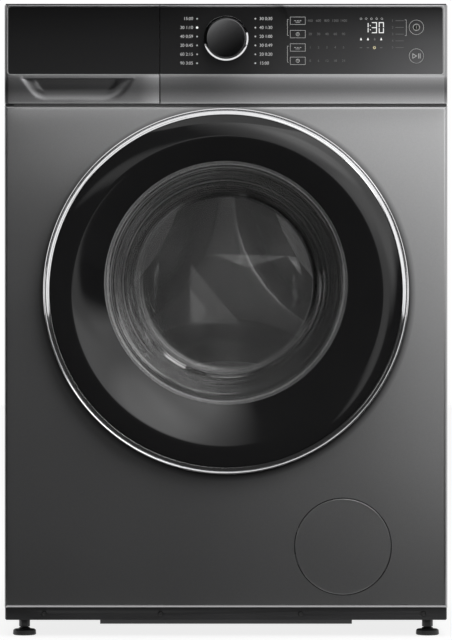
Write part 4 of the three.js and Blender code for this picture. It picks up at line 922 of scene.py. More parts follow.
def hoop_mark(bm, x, z, radius, line, y, depth, segments=32):
    """Adds a printed circle line to a bmesh, or with line 0 a dot."""
    front = y - depth / 2
    back = y + depth / 2
    if line:
        rings = [(x, front, z, radius), (x, front, z, radius - line)]
        rings += [(x, back, z, radius - line), (x, back, z, radius)]
        ring_skin(bm, rings, segments, closed=True)
    else:
        ring_skin(bm, [(x, front, z, radius), (x, back, z, radius)], segments, start=True, end=True)


def box_mark(bm, xs, zs, line, y, depth):
    """Adds a printed frame line to a bmesh."""
    bar_mark(bm, xs, (zs[0], zs[0] + line), y, depth)
    bar_mark(bm, xs, (zs[1] - line, zs[1]), y, depth)
    bar_mark(bm, (xs[0], xs[0] + line), (zs[0] + line, zs[1] - line), y, depth)
    bar_mark(bm, (xs[1] - line, xs[1]), (zs[0] + line, zs[1] - line), y, depth)


# ---------------------------------------------------------------- cabinet


def build_front(sizes):
    """The front sheet: rounded upright edges, folded rims, door opening, catch slot and flap hole."""
    low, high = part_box("front_panel")
    opening_low, opening_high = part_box("door_gasket")
    flap_low, flap_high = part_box("service_flap")
    catch_low, catch_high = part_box("door_catch")
    bm = bmesh.new()
    block(bm, low, high)
    soften_front(bm, low, high, sizes, lambda x: abs(x) > high.x - TINY)
    bm.normal_update()
    bmesh.ops.delete(bm, geom=[f for f in bm.faces if f.normal.y > 0.9], context="FACES_ONLY")
    # The front sheet's paint carries the painted shadow round the door.
    panel = make_object("front_skin", bm, ["front_paint"])
    wall = panel.modifiers.new("Wall", "SOLIDIFY")
    wall.thickness = sizes.sheet
    wall.offset = -1
    axis = middle("door_gasket")
    opening = (opening_high.x - opening_low.x) / 2 - 0.008
    flap = middle("service_flap")
    flap_radius = (flap_high.z - flap_low.z) / 2 + 0.0012
    near = low.y - 0.01
    far = low.y + 0.01
    cut_out(
        panel,
        rod_tool(0, axis.z, opening, near, far, 128),
        rod_tool(flap.x, flap.z, flap_radius, near, far, 96),
        block_tool(
            (catch_low.x - 0.004, near, catch_low.z + 0.002),
            (catch_high.x + 0.004, far, catch_high.z - 0.002),
        ),
    )
    settle(panel, "cabinet", ["front_panel"], 30.0, True)
    bm = bmesh.new()
    edge = flap_radius
    rings = [
        (flap.x, low.y + 0.0002, flap.z, edge + 0.0001),
        (flap.x, low.y + 0.0005, flap.z, edge - 0.0003),
        (flap.x, low.y + 0.0062, flap.z, edge - 0.0003),
        (flap.x, low.y + 0.0062, flap.z, edge + 0.0009),
        (flap.x, low.y + 0.0009, flap.z, edge + 0.0009),
    ]
    ring_skin(bm, rings, 96, closed=True)
    add_piece("flap_surround", bm, "cabinet", "silver_paint", "matt_black")


def build_sides(sizes):
    """The side sheets with their pressed fields, flanges and spring hangers."""
    for side, node in ((-1, "left_side_panel"), (1, "right_side_panel")):
        low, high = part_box(node)
        outer = side * high.x if side > 0 else low.x
        inward = -side
        across = (low.y, high.y)
        up = (low.z, high.z)
        sheet = 0.0014
        inset = sizes.field_inset
        slope = 0.007
        rings = []
        for shrink, sunk, corner in (
            (0, sheet, 0.001),
            (0, 0.0006, 0.001),
            (0.0006, 0, 0.001),
            (inset, 0, 0.05),
            (inset + slope * 0.4, sizes.field_depth * 0.25, 0.048),
            (inset + slope, sizes.field_depth, 0.045),
        ):
            rings.append((grown(across, -shrink), grown(up, -shrink), outer + inward * sunk, corner))
        bm = bmesh.new()
        frame_skin(bm, rings, "X", 10, end=True)
        inside = outer + inward * sheet * 0.5
        xs = sorted((inside, outer + inward * 0.012))
        for ys, zs in (
            ((low.y, low.y + 0.0008), (low.z + 0.04, high.z)),
            ((high.y - 0.0025, high.y - 0.0017), (low.z + 0.04, high.z)),
            ((low.y, high.y - 0.0017), (high.z - 0.0008, high.z)),
        ):
            block(bm, (xs[0], ys[0], zs[0]), (xs[1], ys[1], zs[1]))
        spring_low, spring_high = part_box("spring_left" if side < 0 else "spring_right")
        reach = abs(spring_low.x + spring_high.x) / 2 - 0.018
        hang_x = sorted((inside, side * reach))
        hang_y = (spring_low.y + spring_high.y) / 2
        block(bm, (hang_x[0], hang_y - 0.02, 0.789), (hang_x[1], hang_y + 0.02, 0.792))
        name = "side_skin_left" if side < 0 else "side_skin_right"
        # The side sheets wear the darker copy of the paint, as painted shade.
        add_piece(name, bm, "cabinet", "silver_paint", "side_paint", [node])


def build_worktop():
    """The worktop's finish."""
    dress("worktop", "worktop_board", 0.0012)


def build_base():
    """The base frame's finish and the screws in its front rail."""
    dress("base_frame", "frame_paint", 0.0008)
    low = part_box("base_frame")[0]
    panel_low, panel_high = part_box("front_panel")
    width = panel_high.x - panel_low.x
    head = [(0, -0.0009), (0.0016, -0.0016), (0.0032, -0.0012), (0.0036, 0), (0, 0.001)]
    height = low.z + 0.0055 + (panel_low.z - 0.022) / 2
    bm = bmesh.new()
    for share in (-0.411, -0.148, 0.169, 0.446):
        centre = (share * width, low.y, height)
        turn(bm, head, centre, "Y", 24)
    add_piece("plinth_screws", bm, "cabinet", "frame_paint", "matt_black")


def build_feet():
    """The four levelling feet: pad, threaded stem and lock nut."""
    for side in ("front_left", "rear_left", "front_right", "rear_right"):
        node = f"foot_{side}"
        low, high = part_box(node)
        x, y, _ = middle(node)
        radius = (high.x - low.x) / 2
        thread_radius = 0.0048
        root = 0.0042
        pitch = 0.0015
        pad = [(0, 0.0), (radius - 0.0012, 0.0), (radius, 0.0012), (radius - 0.0004, 0.0064)]
        pad += [(radius - 0.0022, 0.0078), (0.0085, 0.0082), (0.0072, 0.0098), (thread_radius, 0.0108)]
        thread = []
        z = 0.0108
        while z < high.z - 0.003:
            thread += [(thread_radius, z), (root, z + pitch / 2)]
            z += pitch
        profile = pad + thread + [(0.0044, high.z - 0.001), (0.0034, high.z), (0, high.z)]
        bm = bmesh.new()
        turn(bm, profile, (x, y, 0), "Z", 32)
        nut = bmesh.ops.create_cone(
            bm,
            cap_ends=True,
            segments=6,
            radius1=0.0075,
            radius2=0.0075,
            depth=0.0105,
            matrix=Matrix.Translation((x, y, 0.0163)) @ Matrix.Rotation(math.pi / 6, 4, "Z"),
        )
        edges = {edge for vert in nut["verts"] for edge in vert.link_edges}
        soften(bm, list(edges), 0.0006, 2)
        add_piece(f"foot_{side}_turned", bm, f"leg_{side}", "matt_black", None, [node])


# ---------------------------------------------------------------- console


def lens_frame(name, xs, zs, width, y, corner, cut, body):
    """A trim line round a lens, taken away past the cut (place, direction along X)."""
    gap = bpy.context.scene.washer_console.lens_gap
    zs = (zs[0] + width - gap, zs[1])
    outlines = []
    for by, radius in ((width, corner + width), (gap, corner)):
        path = [(x, z) for x, _, z in frame_corners(grown(xs, by), grown(zs, by), 0)]
        outlines.append(rounded(path, radius, 6, closed=True))
    bm = bmesh.new()
    add_mesh(bm, flat_mesh(outlines, 0.0012, 0.0002, 2), (0, y - 0.0004, 0))
    halves = bmesh.ops.bisect_plane(
        bm,
        geom=bm.verts[:] + bm.edges[:] + bm.faces[:],
        dist=TINY / 10,
        plane_co=(cut[0], 0, 0),
        plane_no=(cut[1], 0, 0),
        clear_outer=True,
    )
    ends = only(halves["geom_cut"], bmesh.types.BMEdge)
    bmesh.ops.holes_fill(bm, edges=ends, sides=0)
    add_piece(name, bm, body, "console_paint", "trim_paint")


def lens_plate(name, node, radii, holes, body):
    """A glossy lens with a fine rounded rim; the radii are its corners' from the lower left."""
    low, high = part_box(node)
    path = [(x, z) for x, _, z in frame_corners((low.x, high.x), (low.z, high.z), 0)]
    points = rounded(path, radii, 6, closed=True)
    mesh = flat_mesh([points] + holes, high.y - low.y, 0.0003, 2)
    bm = bmesh.new()
    add_mesh(bm, mesh, (0, low.y, 0))
    add_piece(name, bm, body, "gloss_black", "lens_black", [node], 30.0, True)


def build_fascia(sizes):
    """The console's painted frame with its lens pocket, the lens and its light trim line."""
    low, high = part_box("console_fascia")
    lens_low, lens_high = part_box("console_lens")
    knob = middle("program_knob")
    case = bpy.context.scene.washer_cabinet
    left = lens_low.x
    face_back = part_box("front_panel")[1].y
    bm = bmesh.new()
    block(bm, (left, low.y, low.z), (high.x, face_back, high.z))
    soften_front(bm, low, high, case, lambda x: x > high.x - TINY)
    fascia = make_object("console_frame", bm, ["console_paint"])
    gap = sizes.lens_gap
    keys = []
    for node in ("power_button", "start_button"):
        key_low, key_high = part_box(node)
        keys.append((middle(node), (key_high.x - key_low.x) / 2))
    before = low.y - 0.005
    behind = face_back + 0.01
    tools = [
        block_tool(
            (left - 0.02, before, lens_low.z - gap),
            (lens_high.x + gap, lens_high.y + 0.0003, lens_high.z + gap),
        ),
        rod_tool(knob.x, knob.z, 0.012, before, behind, 48),
        block_tool(
            (left + 0.003, low.y + 0.0045, low.z + 0.003),
            (high.x - 0.003, behind, high.z - 0.003),
        ),
    ]
    tools += [rod_tool(key.x, key.z, radius + 0.0008, before, behind, 48) for key, radius in keys]
    cut_out(fascia, *tools)
    settle(fascia, "cabinet", ["console_fascia"], 30.0, True)
    bm = bmesh.new()
    panel_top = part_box("front_panel")[1].z
    strip_low = (low.x, low.y + 0.0042, panel_top - 0.002)
    block(bm, strip_low, (high.x - 0.004, low.y + 0.0058, low.z + 0.002))
    add_piece("seam_strip", bm, "cabinet", "console_paint", "grey_dark")
    frame_y = -0.2175
    bm = bmesh.new()
    block(bm, (low.x, frame_y, low.z + 0.004), (left + 0.006, frame_y + 0.004, high.z - 0.0187))
    surround = make_object("drawer_surround", bm, ["console_paint"])
    tray_low, tray_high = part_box("drawer_tray")
    reach = 0.0012
    opening = block_tool(
        (tray_low.x - reach, frame_y - 0.01, tray_low.z - reach),
        (tray_high.x + reach, frame_y + 0.02, tray_high.z + reach),
    )
    cut_out(surround, opening)
    settle(surround, "cabinet")
    holes = [circle_points(knob.x, knob.z, 0.010, 48)]
    holes += [circle_points(key.x, key.z, radius + 0.0004, 48) for key, radius in keys]
    corner = sizes.lens_corner
    lens_plate("console_screen", "console_lens", [0, corner, corner, 0], holes, "cabinet")
    span = (left - 0.2, lens_high.x)
    up = (lens_low.z, lens_high.z)
    lens_frame("console_trim", span, up, sizes.trim_width, low.y, corner, (left, -1), "cabinet")


def build_marks(sizes):
    """The printed marks and the display: plain figures, dots, frames and simple signs."""
    lens_low, lens_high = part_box("console_lens")
    y = lens_low.y - sizes.mark_depth / 2
    depth = sizes.mark_depth
    top = lens_high.z
    grey = bmesh.new()
    dim = bmesh.new()
    white = bmesh.new()
    amber = bmesh.new()
    left_times = ("15:00", "30 1:10", "40 0:59", "20 0:45", "60 2:15", "90 3:05")
    right_times = ("30 0:30", "40 1:30", "20 1:00", "30 0:49", "20 0:20", "15:00")
    time_height = 0.0042
    dot = 0.0011
    chosen = 1
    for row in range(6):
        z = top - 0.0158 - row * sizes.row_pitch
        write_mark(grey, left_times[row], -0.0441, z, time_height, y, depth, "RIGHT")
        write_mark(grey, right_times[row], 0.0448, z, time_height, y, depth, "LEFT")
        if row == chosen:
            hoop_mark(white, -0.0388, z, 0.0016, 0, y, depth, 20)
        else:
            hoop_mark(grey, -0.0388, z, dot, 0, y, depth, 20)
        hoop_mark(grey, 0.0394, z, dot, 0, y, depth, 20)
    keys = ((400, 600, 800, 1200, 1400), (20, 30, 40, 60, 90), (1, 2, 3, 4, 5), (0, 6, 12, 18, 24))
    key_x = 0.0963
    line = 0.0004
    for row in range(4):
        z = top - 0.0185 - row * sizes.key_pitch
        box_mark(grey, (0.0861, 0.1066), (z - 0.0052, z + 0.0052), line, y, depth)
        if row % 2:
            hoop_mark(grey, key_x, z, 0.0026, 0.0005, y, depth)
            bar_mark(grey, (key_x - 0.0003, key_x + 0.0003), (z, z + 0.0018), y, depth)
        else:
            for x in (key_x - 0.0036, key_x, key_x + 0.0036):
                bar_mark(grey, (x - 0.0012, x + 0.0012), (z - 0.0003, z + 0.0003), y, depth)
            bar_mark(grey, (key_x - 0.003, key_x + 0.003), (z - 0.0022, z - 0.0017), y, depth)
        for column, value in enumerate(keys[row]):
            write_mark(dim, str(value), 0.1130 + column * 0.0112, z, 0.0033, y, depth)
    for low_row, high_row in ((1, 0), (3, 2)):
        z0 = top - 0.0205 - low_row * sizes.key_pitch
        z1 = top - 0.0165 - high_row * sizes.key_pitch
        bar_mark(grey, (0.0822, 0.0822 + line), (z0, z1), y, depth)
        bar_mark(grey, (0.0822, 0.0842), (z0, z0 + line), y, depth)
        bar_mark(grey, (0.0822, 0.0842), (z1 - line, z1), y, depth)
    digit_shapes = {"1": "bc", "3": "abcdg", "0": "abcdef"}
    tall = 0.0147
    wide = 0.0068
    stroke = 0.0011
    middle = top - 0.0278
    places = ((0.1845, "1"), (0.1958, "3"), (0.2051, "0"))
    for x, digit in places:
        spans = {
            "a": ((x, x + wide), (middle + tall / 2 - stroke, middle + tall / 2)),
            "d": ((x, x + wide), (middle - tall / 2, middle - tall / 2 + stroke)),
            "g": ((x, x + wide), (middle - stroke / 2, middle + stroke / 2)),
            "b": ((x + wide - stroke, x + wide), (middle + 0.0006, middle + tall / 2 - stroke)),
            "c": ((x + wide - stroke, x + wide), (middle - tall / 2 + stroke, middle - 0.0006)),
            "f": ((x, x + stroke), (middle + 0.0006, middle + tall / 2 - stroke)),
            "e": ((x, x + stroke), (middle - tall / 2 + stroke, middle - 0.0006)),
        }
        for letter in digit_shapes[digit]:
            bar_mark(white, *spans[letter], y, depth)
    for lift in (-0.0028, 0.0028):
        hoop_mark(white, 0.1937, middle + lift, 0.0007, 0, y, depth, 12)
    for step in range(5):
        x = 0.1812 + step * 0.0070
        hoop_mark(grey, x, top - 0.0158, 0.0014, line, y, depth, 16)
    for x, bright in ((0.1812, 1), (0.1905, 1), (0.1996, 0), (0.2083, 1)):
        foot = top - 0.0448
        drop = rounded([(x - 0.0016, foot), (x + 0.0016, foot), (x, foot + 0.004)], 0.0012, 4, True)
        add_mesh(white if bright else dim, flat_mesh([drop], depth), (0, y - depth / 2, 0))
    hoop_mark(amber, 0.1992, top - 0.0547, 0.0019, 0.0006, y, depth, 24)
    for x in (0.1812, 0.1905, 0.2083):
        bar_mark(dim, (x - 0.0016, x + 0.0016), (top - 0.0552, top - 0.0542), y, depth)
    for row in range(5):
        z = top - 0.0185 - row * 0.009
        write_mark(dim, str(row + 1), 0.2225, z, 0.0032, y, depth, "LEFT")
        bar_mark(dim, (0.2275, 0.2385), (z - 0.0003, z + 0.0003), y, depth)
    brace = (0.2400, 0.2422)
    bar_mark(grey, (brace[1] - line, brace[1]), (top - 0.0387, top - 0.0172), y, depth)
    bar_mark(grey, brace, (top - 0.0172 - line, top - 0.0172), y, depth)
    bar_mark(grey, brace, (top - 0.0387, top - 0.0387 + line), y, depth)
    for name, bm, finish in (
        ("console_marks", grey, "mark_grey"),
        ("console_marks_dim", dim, "mark_dim"),
        ("display_lit", white, "lit_white"),
        ("display_amber", amber, "lit_amber"),
    ):
        add_piece(name, bm, "cabinet", "white_plastic", finish)


def build_knob():
    """The program knob with its bright ring."""
    low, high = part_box("program_knob")
    ring_low, ring_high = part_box("knob_ring")
    x = (low.x + high.x) / 2
    z = (low.z + high.z) / 2
    radius = (ring_low.x + ring_high.x) / 2 + (high.z - low.z) / 2
    face = low.y
    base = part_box("console_lens")[0].y - 0.0012
    dome = 0.0004
    path = [
        (0, face),
        (radius * 0.5, face + dome * 0.25),
        (radius * 0.8, face + dome * 0.64),
        (radius - 0.0008, face + dome),
        (radius, face + dome + 0.0009),
        (radius, base),
        (0.0045, base),
        (0.0045, high.y),
        (0, high.y),
    ]
    bm = bmesh.new()
    turn(bm, rounded(path, [0, 0.004, 0.003, 0.0006, 0.0006, 0.0004, 0, 0.0005, 0], 5), (x, 0, z), "Y", 96)
    add_piece("knob_cap", bm, "knob", "gloss_black", "cap_black", ["program_knob"])
    outer = (ring_high.z - ring_low.z) / 2
    inner = radius + 0.0003
    front = ring_low.y
    crown = inner + 0.0005
    slope = math.tan(math.radians(38))
    path = [(inner, front + 0.0012), (crown, front), (outer, front + (outer - crown) * slope)]
    path += [(outer, ring_high.y), (inner, ring_high.y)]
    bm = bmesh.new()
    turn(bm, rounded(path, [0.0001, 0.0001, 0.0002, 0, 0], 3), (x, 0, z), "Y", 96, closed=True)
    add_piece("knob_bright_ring", bm, "knob", "chrome_trim", None, ["knob_ring"], 20.0)


def build_buttons(sizes):
    """The two push buttons with the signs on their caps."""
    depth = sizes.mark_depth
    for node, body, sign in (("power_button", "power_key", "power"), ("start_button", "start_key", "start")):
        low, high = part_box(node)
        centre = middle(node)
        radius = (high.x - low.x) / 2
        path = [
            (0, low.y + 0.0003),
            (radius - 0.0016, low.y + 0.0003),
            (radius - 0.0008, low.y),
            (radius, low.y + 0.0006),
            (radius, low.y + 0.004),
            (0.003, low.y + 0.004),
            (0.003, high.y),
            (0, high.y),
        ]
        bm = bmesh.new()
        turn(bm, rounded(path, 0.0003, 3), (centre.x, 0, centre.z), "Y", 64)
        add_piece(f"{sign}_cap", bm, body, "gloss_black", "lens_black", [node])
        y = low.y + 0.0003 - depth / 2
        bm = bmesh.new()
        hoop_mark(bm, centre.x, centre.z, radius - 0.0001, 0.0004, low.y + 0.0003, depth * 4, 48)
        if sign == "power":
            hoop_mark(bm, centre.x, centre.z, 0.0046, 0.0006, y, depth, 40)
            stem = (centre.x - 0.0003, centre.x + 0.0003)
            bar_mark(bm, stem, (centre.z - 0.0024, centre.z + 0.0024), y, depth)
        else:
            left = centre.x - 0.0052
            back = left + 0.0006
            sides = [(left, centre.z - 0.0036), (left + 0.0060, centre.z), (left, centre.z + 0.0036)]
            inner = [(back, centre.z - 0.0025), (back + 0.0041, centre.z), (back, centre.z + 0.0025)]
            add_mesh(bm, flat_mesh([sides, inner], depth), (0, y - depth / 2, 0))
            for x in (centre.x + 0.0026, centre.x + 0.0046):
                bar_mark(bm, (x, x + 0.0007), (centre.z - 0.0034, centre.z + 0.0034), y, depth)
        add_piece(f"{sign}_sign", bm, body, "white_plastic", "mark_grey")


# ---------------------------------------------------------------- drawer


def ease(share):
    """A soft step from 0 to 1."""
    share = min(max(share, 0.0), 1.0)
    return share * share * (3 - 2 * share)


def press_grip(bm, low, top):
    """Presses the finger grip into the drawer's face: steep at its top, sloping at its other sides."""
    left = low.x + 0.0205
    right = low.x + 0.1775
    bottom = top - 0.0315
    slant = 0.022
    heights = [top + 0.0002, top - 0.0002] + [top - 0.0012 * k for k in range(1, 28)]
    places = [left - 0.001 + 0.0025 * k for k in range(65)]
    cuts = [((0, 0, z), (0, 0, 1)) for z in heights] + [((x, 0, 0), (1, 0, 0)) for x in places]
    for place, way in cuts:
        whole = bm.verts[:] + bm.edges[:] + bm.faces[:]
        bmesh.ops.bisect_plane(bm, geom=whole, dist=TINY / 10, plane_co=place, plane_no=way)
    for vert in bm.verts:
        x, y, z = vert.co
        if y > low.y + TINY or z > top:
            continue
        drop = (top - z) / (top - bottom)
        across = ease((x - left - slant * drop) / 0.021) * ease((right - slant * drop - x) / 0.028)
        vert.co.y += GRIP_DEPTH * across * ease((z - bottom) / 0.019)


def build_drawer(sizes):
    """The drawer's front with its finger grip, its lens, trim line and tray."""
    low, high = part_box("drawer_front")
    lens_low, lens_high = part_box("drawer_lens")
    case = bpy.context.scene.washer_cabinet
    face_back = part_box("front_panel")[1].y
    bm = bmesh.new()
    block(bm, low, (high.x, face_back, high.z))
    soften_front(bm, low, high, case, lambda x: x < low.x + TINY)
    press_grip(bm, low, lens_low.z - 0.0052)
    # The drawer's paint darkens inside the grip as painted shade.
    front = make_object("drawer_face", bm, ["console_paint"])
    hollow = block_tool(
        (low.x + 0.003, low.y + 0.005, lens_low.z + 0.001),
        (high.x - 0.003, face_back + 0.01, high.z - 0.003),
    )
    pocket = block_tool(
        (lens_low.x - sizes.lens_gap, low.y - 0.005, lens_low.z - sizes.lens_gap),
        (high.x + 0.01, lens_high.y + 0.0003, lens_high.z + sizes.lens_gap),
    )
    cut_out(front, hollow, pocket)
    settle(front, "drawer", ["drawer_front"], 50.0)
    corner = sizes.lens_corner
    lens_plate("drawer_screen", "drawer_lens", [corner, 0, 0, corner], [], "drawer")
    span = (lens_low.x, high.x + 0.2)
    up = (lens_low.z, lens_high.z)
    lens_frame("drawer_trim", span, up, sizes.trim_width, low.y, corner, (high.x, 1), "drawer")
    dress("drawer_tray", "white_plastic", 0.0008)


# ---------------------------------------------------------------- door


def build_door(sizes):
    """The door: black bezel, bright ring, glass bowl and rear frame."""
    bezel_low, bezel_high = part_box("door_bezel")
    trim_low, trim_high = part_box("door_trim_ring")
    glass_low, glass_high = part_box("door_glass")
    door_z = (trim_low.z + trim_high.z) / 2
    axis_z = (glass_low.z + glass_high.z) / 2
    crest_z = door_z - 0.002
    outer = (bezel_high.z - bezel_low.z) / 2
    crest = outer - 0.0304
    window = 0.163
    crest_y = bezel_low.y
    out_y = crest_y + 0.0055
    in_y = crest_y + 0.019
    wall = 0.0026
    front = [
        (0, out_y + 0.0006, door_z, outer),
        (0, out_y - 0.0003, door_z, outer - 0.0012),
        (0, crest_y + 0.0016, crest_z + 0.0008, (outer + crest) / 2 + 0.002),
        (0, crest_y, crest_z, crest),
        (0, in_y, axis_z, window),
        (0, in_y + wall, axis_z, window),
    ]
    front = rounded(front, [0, 0.0006, 0.008, sizes.crest_round, 0.0006, 0], 5)
    back = [
        (0, crest_y + wall, crest_z, crest),
        (0, out_y + wall, door_z, outer),
    ]
    bm = bmesh.new()
    ring_skin(bm, front + back, 192, closed=True)
    add_piece("bezel_ring", bm, "door", "gloss_black", None, ["door_bezel"])
    rim = (trim_high.z - trim_low.z) / 2
    inner = rim - 0.0086
    near = trim_low.y
    far = trim_high.y
    groove = sizes.trim_groove
    slope = math.tan(math.radians(33))
    ridge = rim - 0.0013
    root = rim - 0.0030
    lip = near + 0.0030
    path = [
        (inner, near + 0.0009),
        (inner + 0.0003, near),
        (root, near + (root - inner - 0.0003) * slope),
        (root + 0.0001, near + (root - inner - 0.0003) * slope + groove * 0.5),
        (root + 0.0002, lip),
        (ridge, lip - (ridge - root) * slope),
        (rim - 0.0001, lip - (ridge - root) * slope + 0.0011 * slope),
        (rim, lip),
        (rim, far),
        (rim - 0.0062, far),
        (rim - 0.0062, near + 0.0012),
    ]
    radii = [0.0002, 0.0002, 0.0001, 0, 0, 0.0002, 0.0002, 0, 0, 0, 0]
    bm = bmesh.new()
    turn(bm, rounded(path, radii, 3, True), (0, 0, door_z), "Y", 192, closed=True)
    add_piece("bright_ring", bm, "door", "chrome_trim", None, ["door_trim_ring"], 20.0)
    build_glass(sizes, glass_low, glass_high, axis_z)
    build_door_back(axis_z)


def build_glass(sizes, low, high, axis_z):
    """The glass bowl: flange, ringed wall and clear end."""
    flange = (high.z - low.z) / 2
    near = low.y
    deep = near + 0.112
    thick = 0.005
    outside = [
        (0, near, axis_z, flange),
        (0, near, axis_z, 0.159),
        (0, near + 0.004, axis_z, 0.1545),
        (0, near + 0.28 * 0.112, axis_z, 0.145),
        (0, near + 0.86 * 0.112, axis_z, 0.129),
        (0, near + 0.985 * 0.112, axis_z, 0.120),
        (0, deep, axis_z, 0.107),
        (0, deep, axis_z, 0.101),
    ]
    front = rounded(outside, [0, 0.002, 0.004, 0.03, 0.010, 0.008, 0, 0], 7)
    rippled = []
    waves = 9
    span = 0.112
    for x, y, z, r in front:
        wave = math.sin((y - near) / span * math.tau * waves) * sizes.ripple
        rippled.append((x, y, z, r + (wave if near + 0.006 < y < deep - 0.01 else 0)))
    behind = []
    for x, y, z, r in reversed(front):
        if y > near + 0.002:
            behind.append((x, y + thick * 0.75, z, r + thick * 0.7))
    bm = bmesh.new()
    ring_skin(bm, rippled, 160, end=True)
    ring_skin(bm, behind + [(0, near + thick, axis_z, flange), (0, near, axis_z, flange)], 160, start=True)
    add_piece("glass_bowl", bm, "door", "bowl_glass", None, ["door_glass"], 60.0)


def build_door_back(axis_z):
    """The door's rear frame, catch, hinge and the seal round the opening."""
    dress("door_inner_frame", "matt_black", 0.0008)
    dress("door_hinge_arm", "cast_aluminium", 0.0005)
    dress("door_hinge_plate", "spring_steel", 0.0004)
    dress("door_catch", "spring_steel", 0.0003)
    low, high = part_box("door_gasket")
    front = low.y
    edge = (high.x - low.x) / 2
    outer = edge - 0.0094
    back = high.y
    sleeve = 0.1575
    lip = 0.153
    fold = 0.164
    path = [
        (edge, front + 0.0008),
        (edge, front + 0.0025),
        (outer, front + 0.0025),
        (outer, back - 0.0125),
        (sleeve, back - 0.0065),
        (sleeve, back),
        (lip, back),
        (lip, back - 0.0035),
        (0.149, back - 0.0065),
        (outer - 0.0034, back - 0.0135),
        (outer - 0.006, back - 0.019),
        (fold, back - 0.0185),
        (lip, back - 0.0215),
        (lip, back - 0.0245),
        (fold, back - 0.0245),
        (outer - 0.005, back - 0.0265),
        (outer - 0.0034, front + 0.003),
        (outer - 0.002, front),
    ]
    bm = bmesh.new()
    turn(bm, rounded(path, 0.0022, 4, True), (0, 0, axis_z), "Y", 128, closed=True)
    add_piece("door_seal", bm, "cabinet", "seal_rubber", None, ["door_gasket"])


# ---------------------------------------------------------------- drum


def star_points(centre_z, reach, half, waist, steps=10):
    """A three-armed star, one arm up, with hollow curves between its arms."""

    def polar(angle, along, aside=0.0):
        """A point along a way and aside of it."""
        way = Vector((math.cos(angle), math.sin(angle)))
        return way * along + way.orthogonal() * aside

    points = []
    along = math.sqrt(reach**2 - half**2)
    for arm in range(3):
        angle = math.pi / 2 + arm * math.tau / 3
        ahead = angle + math.tau / 3
        start = polar(angle, along, half)
        end = polar(ahead, along, -half)
        through = polar(angle + math.tau / 6, waist)
        pull = through * 2 - (start + end) / 2
        for k in range(steps + 1):
            t = k / steps
            point = start * (1 - t) ** 2 + pull * (2 * t * (1 - t)) + end * t**2
            points.append((point.x, centre_z + point.y))
    return points


def build_drum(sizes):
    """The drum: sheet with rolled lip, a wall with black discs as painted shade for its holes, pressed star,
    lifters and spider.
    """
    low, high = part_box("drum_shell")
    axis_z = (low.z + high.z) / 2
    radius = (high.z - low.z) / 2 - 0.0012
    front = low.y + 0.0016
    back = high.y - 0.0016
    mouth = 0.156
    path = [
        (mouth + 0.001, front + 0.0075),
        (mouth - 0.002, front + 0.006),
        (mouth, front + 0.002),
        (mouth + 0.005, front),
        (radius - 0.012, front + 0.004),
        (radius, front + 0.018),
        (radius, back - 0.010),
        (radius - 0.010, back),
        (0, back),
    ]
    inner = rounded(path, [0, 0.002, 0.002, 0.003, 0.01, 0.01, 0.008, 0.008, 0], 5)
    bm = bmesh.new()
    turn(bm, inner, (0, 0, axis_z), "Y", 144)
    shell = make_object("drum_sheet", bm, ["stainless"])
    wall = shell.modifiers.new("Wall", "SOLIDIFY")
    wall.thickness = 0.0008
    wall.offset = 1
    settle(shell, "drum", ["drum_shell"], 40.0)
    build_star(axis_z, back)
    build_holes(sizes, axis_z, radius, front + 0.03, back - 0.02)
    for name in ("lifter_1", "lifter_2", "lifter_3"):
        dress(name, "lifter_plastic", 0.004, 25.0)
    dress("drum_spider", "cast_aluminium", 0.0015)
    dress("drum_pulley", "cast_aluminium", 0.001)


def build_star(axis_z, back):
    """The star pressed into the drum's back: a narrow flat top with broad sloping sides."""
    rise = 0.014
    bm = bmesh.new()
    loops = []
    for share, lift in ((0.0, -0.02), (0.04, 0.05), (0.5, 0.5), (0.96, 0.96), (1.04, 1.0), (1.12, 1.0)):
        half = 0.055 + (0.017 - 0.055) * share
        waist = 0.110 + (0.046 - 0.110) * share
        points = star_points(axis_z, 0.203 - 0.006 * share, half, waist)
        verts = [bm.verts.new((x, back - rise * lift, z)) for x, z in points]
        loops.append({bm.edges.new(pair) for pair in zip(verts, verts[1:] + verts[:1])})
    skin(bm, loops, end=True)
    # The star wears the darker copy of the drum steel, as painted shade.
    add_piece("drum_star", bm, "drum", "stainless", "star_steel", [], 12.0)


def build_holes(sizes, axis_z, radius, front, back):
    """The holes in the drum's wall, as small flat black discs: painted shade where the holes are."""
    rows = int((back - front) / sizes.hole_pitch)
    count = int(math.tau * radius / sizes.hole_pitch)
    bm = bmesh.new()
    for row in range(rows + 1):
        y = front + row * sizes.hole_pitch
        for k in range(count):
            angle = (k + 0.5 * (row % 2)) * math.tau / count
            if any(abs(math.remainder(angle - math.radians(at), math.tau)) < 0.17 for at in (30, 150, 270)):
                continue
            out = Vector((math.cos(angle), 0, math.sin(angle)))
            spin = Matrix.Rotation(math.pi / 2 - angle, 4, "Y")
            place = Matrix.Translation(out * (radius - 0.0004) + Vector((0, y, axis_z))) @ spin
            bmesh.ops.create_circle(bm, cap_ends=True, segments=10, radius=sizes.hole_radius, matrix=place)
    holes = make_object("drum_hole_shade", bm, ["matt_black"], heal=False)
    settle(holes, "drum")


def build_tub():
    """Finishes for the tub, its weights, suspension, drive and hoses."""
    finishes = {
        "tub_plastic": ("tub_front", "tub_rear"),
        "concrete": ("top_counterweight", "front_counterweight"),
        "motor_iron": ("drive_motor",),
        "black_rubber": ("drive_belt", "sump_hose", "fill_hose"),
        "spring_steel": (
            "spring_left",
            "spring_right",
            "drum_bearing",
            "damper_rod_left",
            "damper_rod_right",
            "motor_pulley",
        ),
        "grey_plastic": ("dispenser_housing", "drain_hose", "damper_left", "damper_right"),
        "circuit_board": ("control_board",),
        "matt_black": ("door_lock", "drain_pump"),
    }
    for finish, nodes in finishes.items():
        for node in nodes:
            dress(node, finish, 0 if node.startswith("spring") else 0.0008)


# ---------------------------------------------------------------- service flap and rear


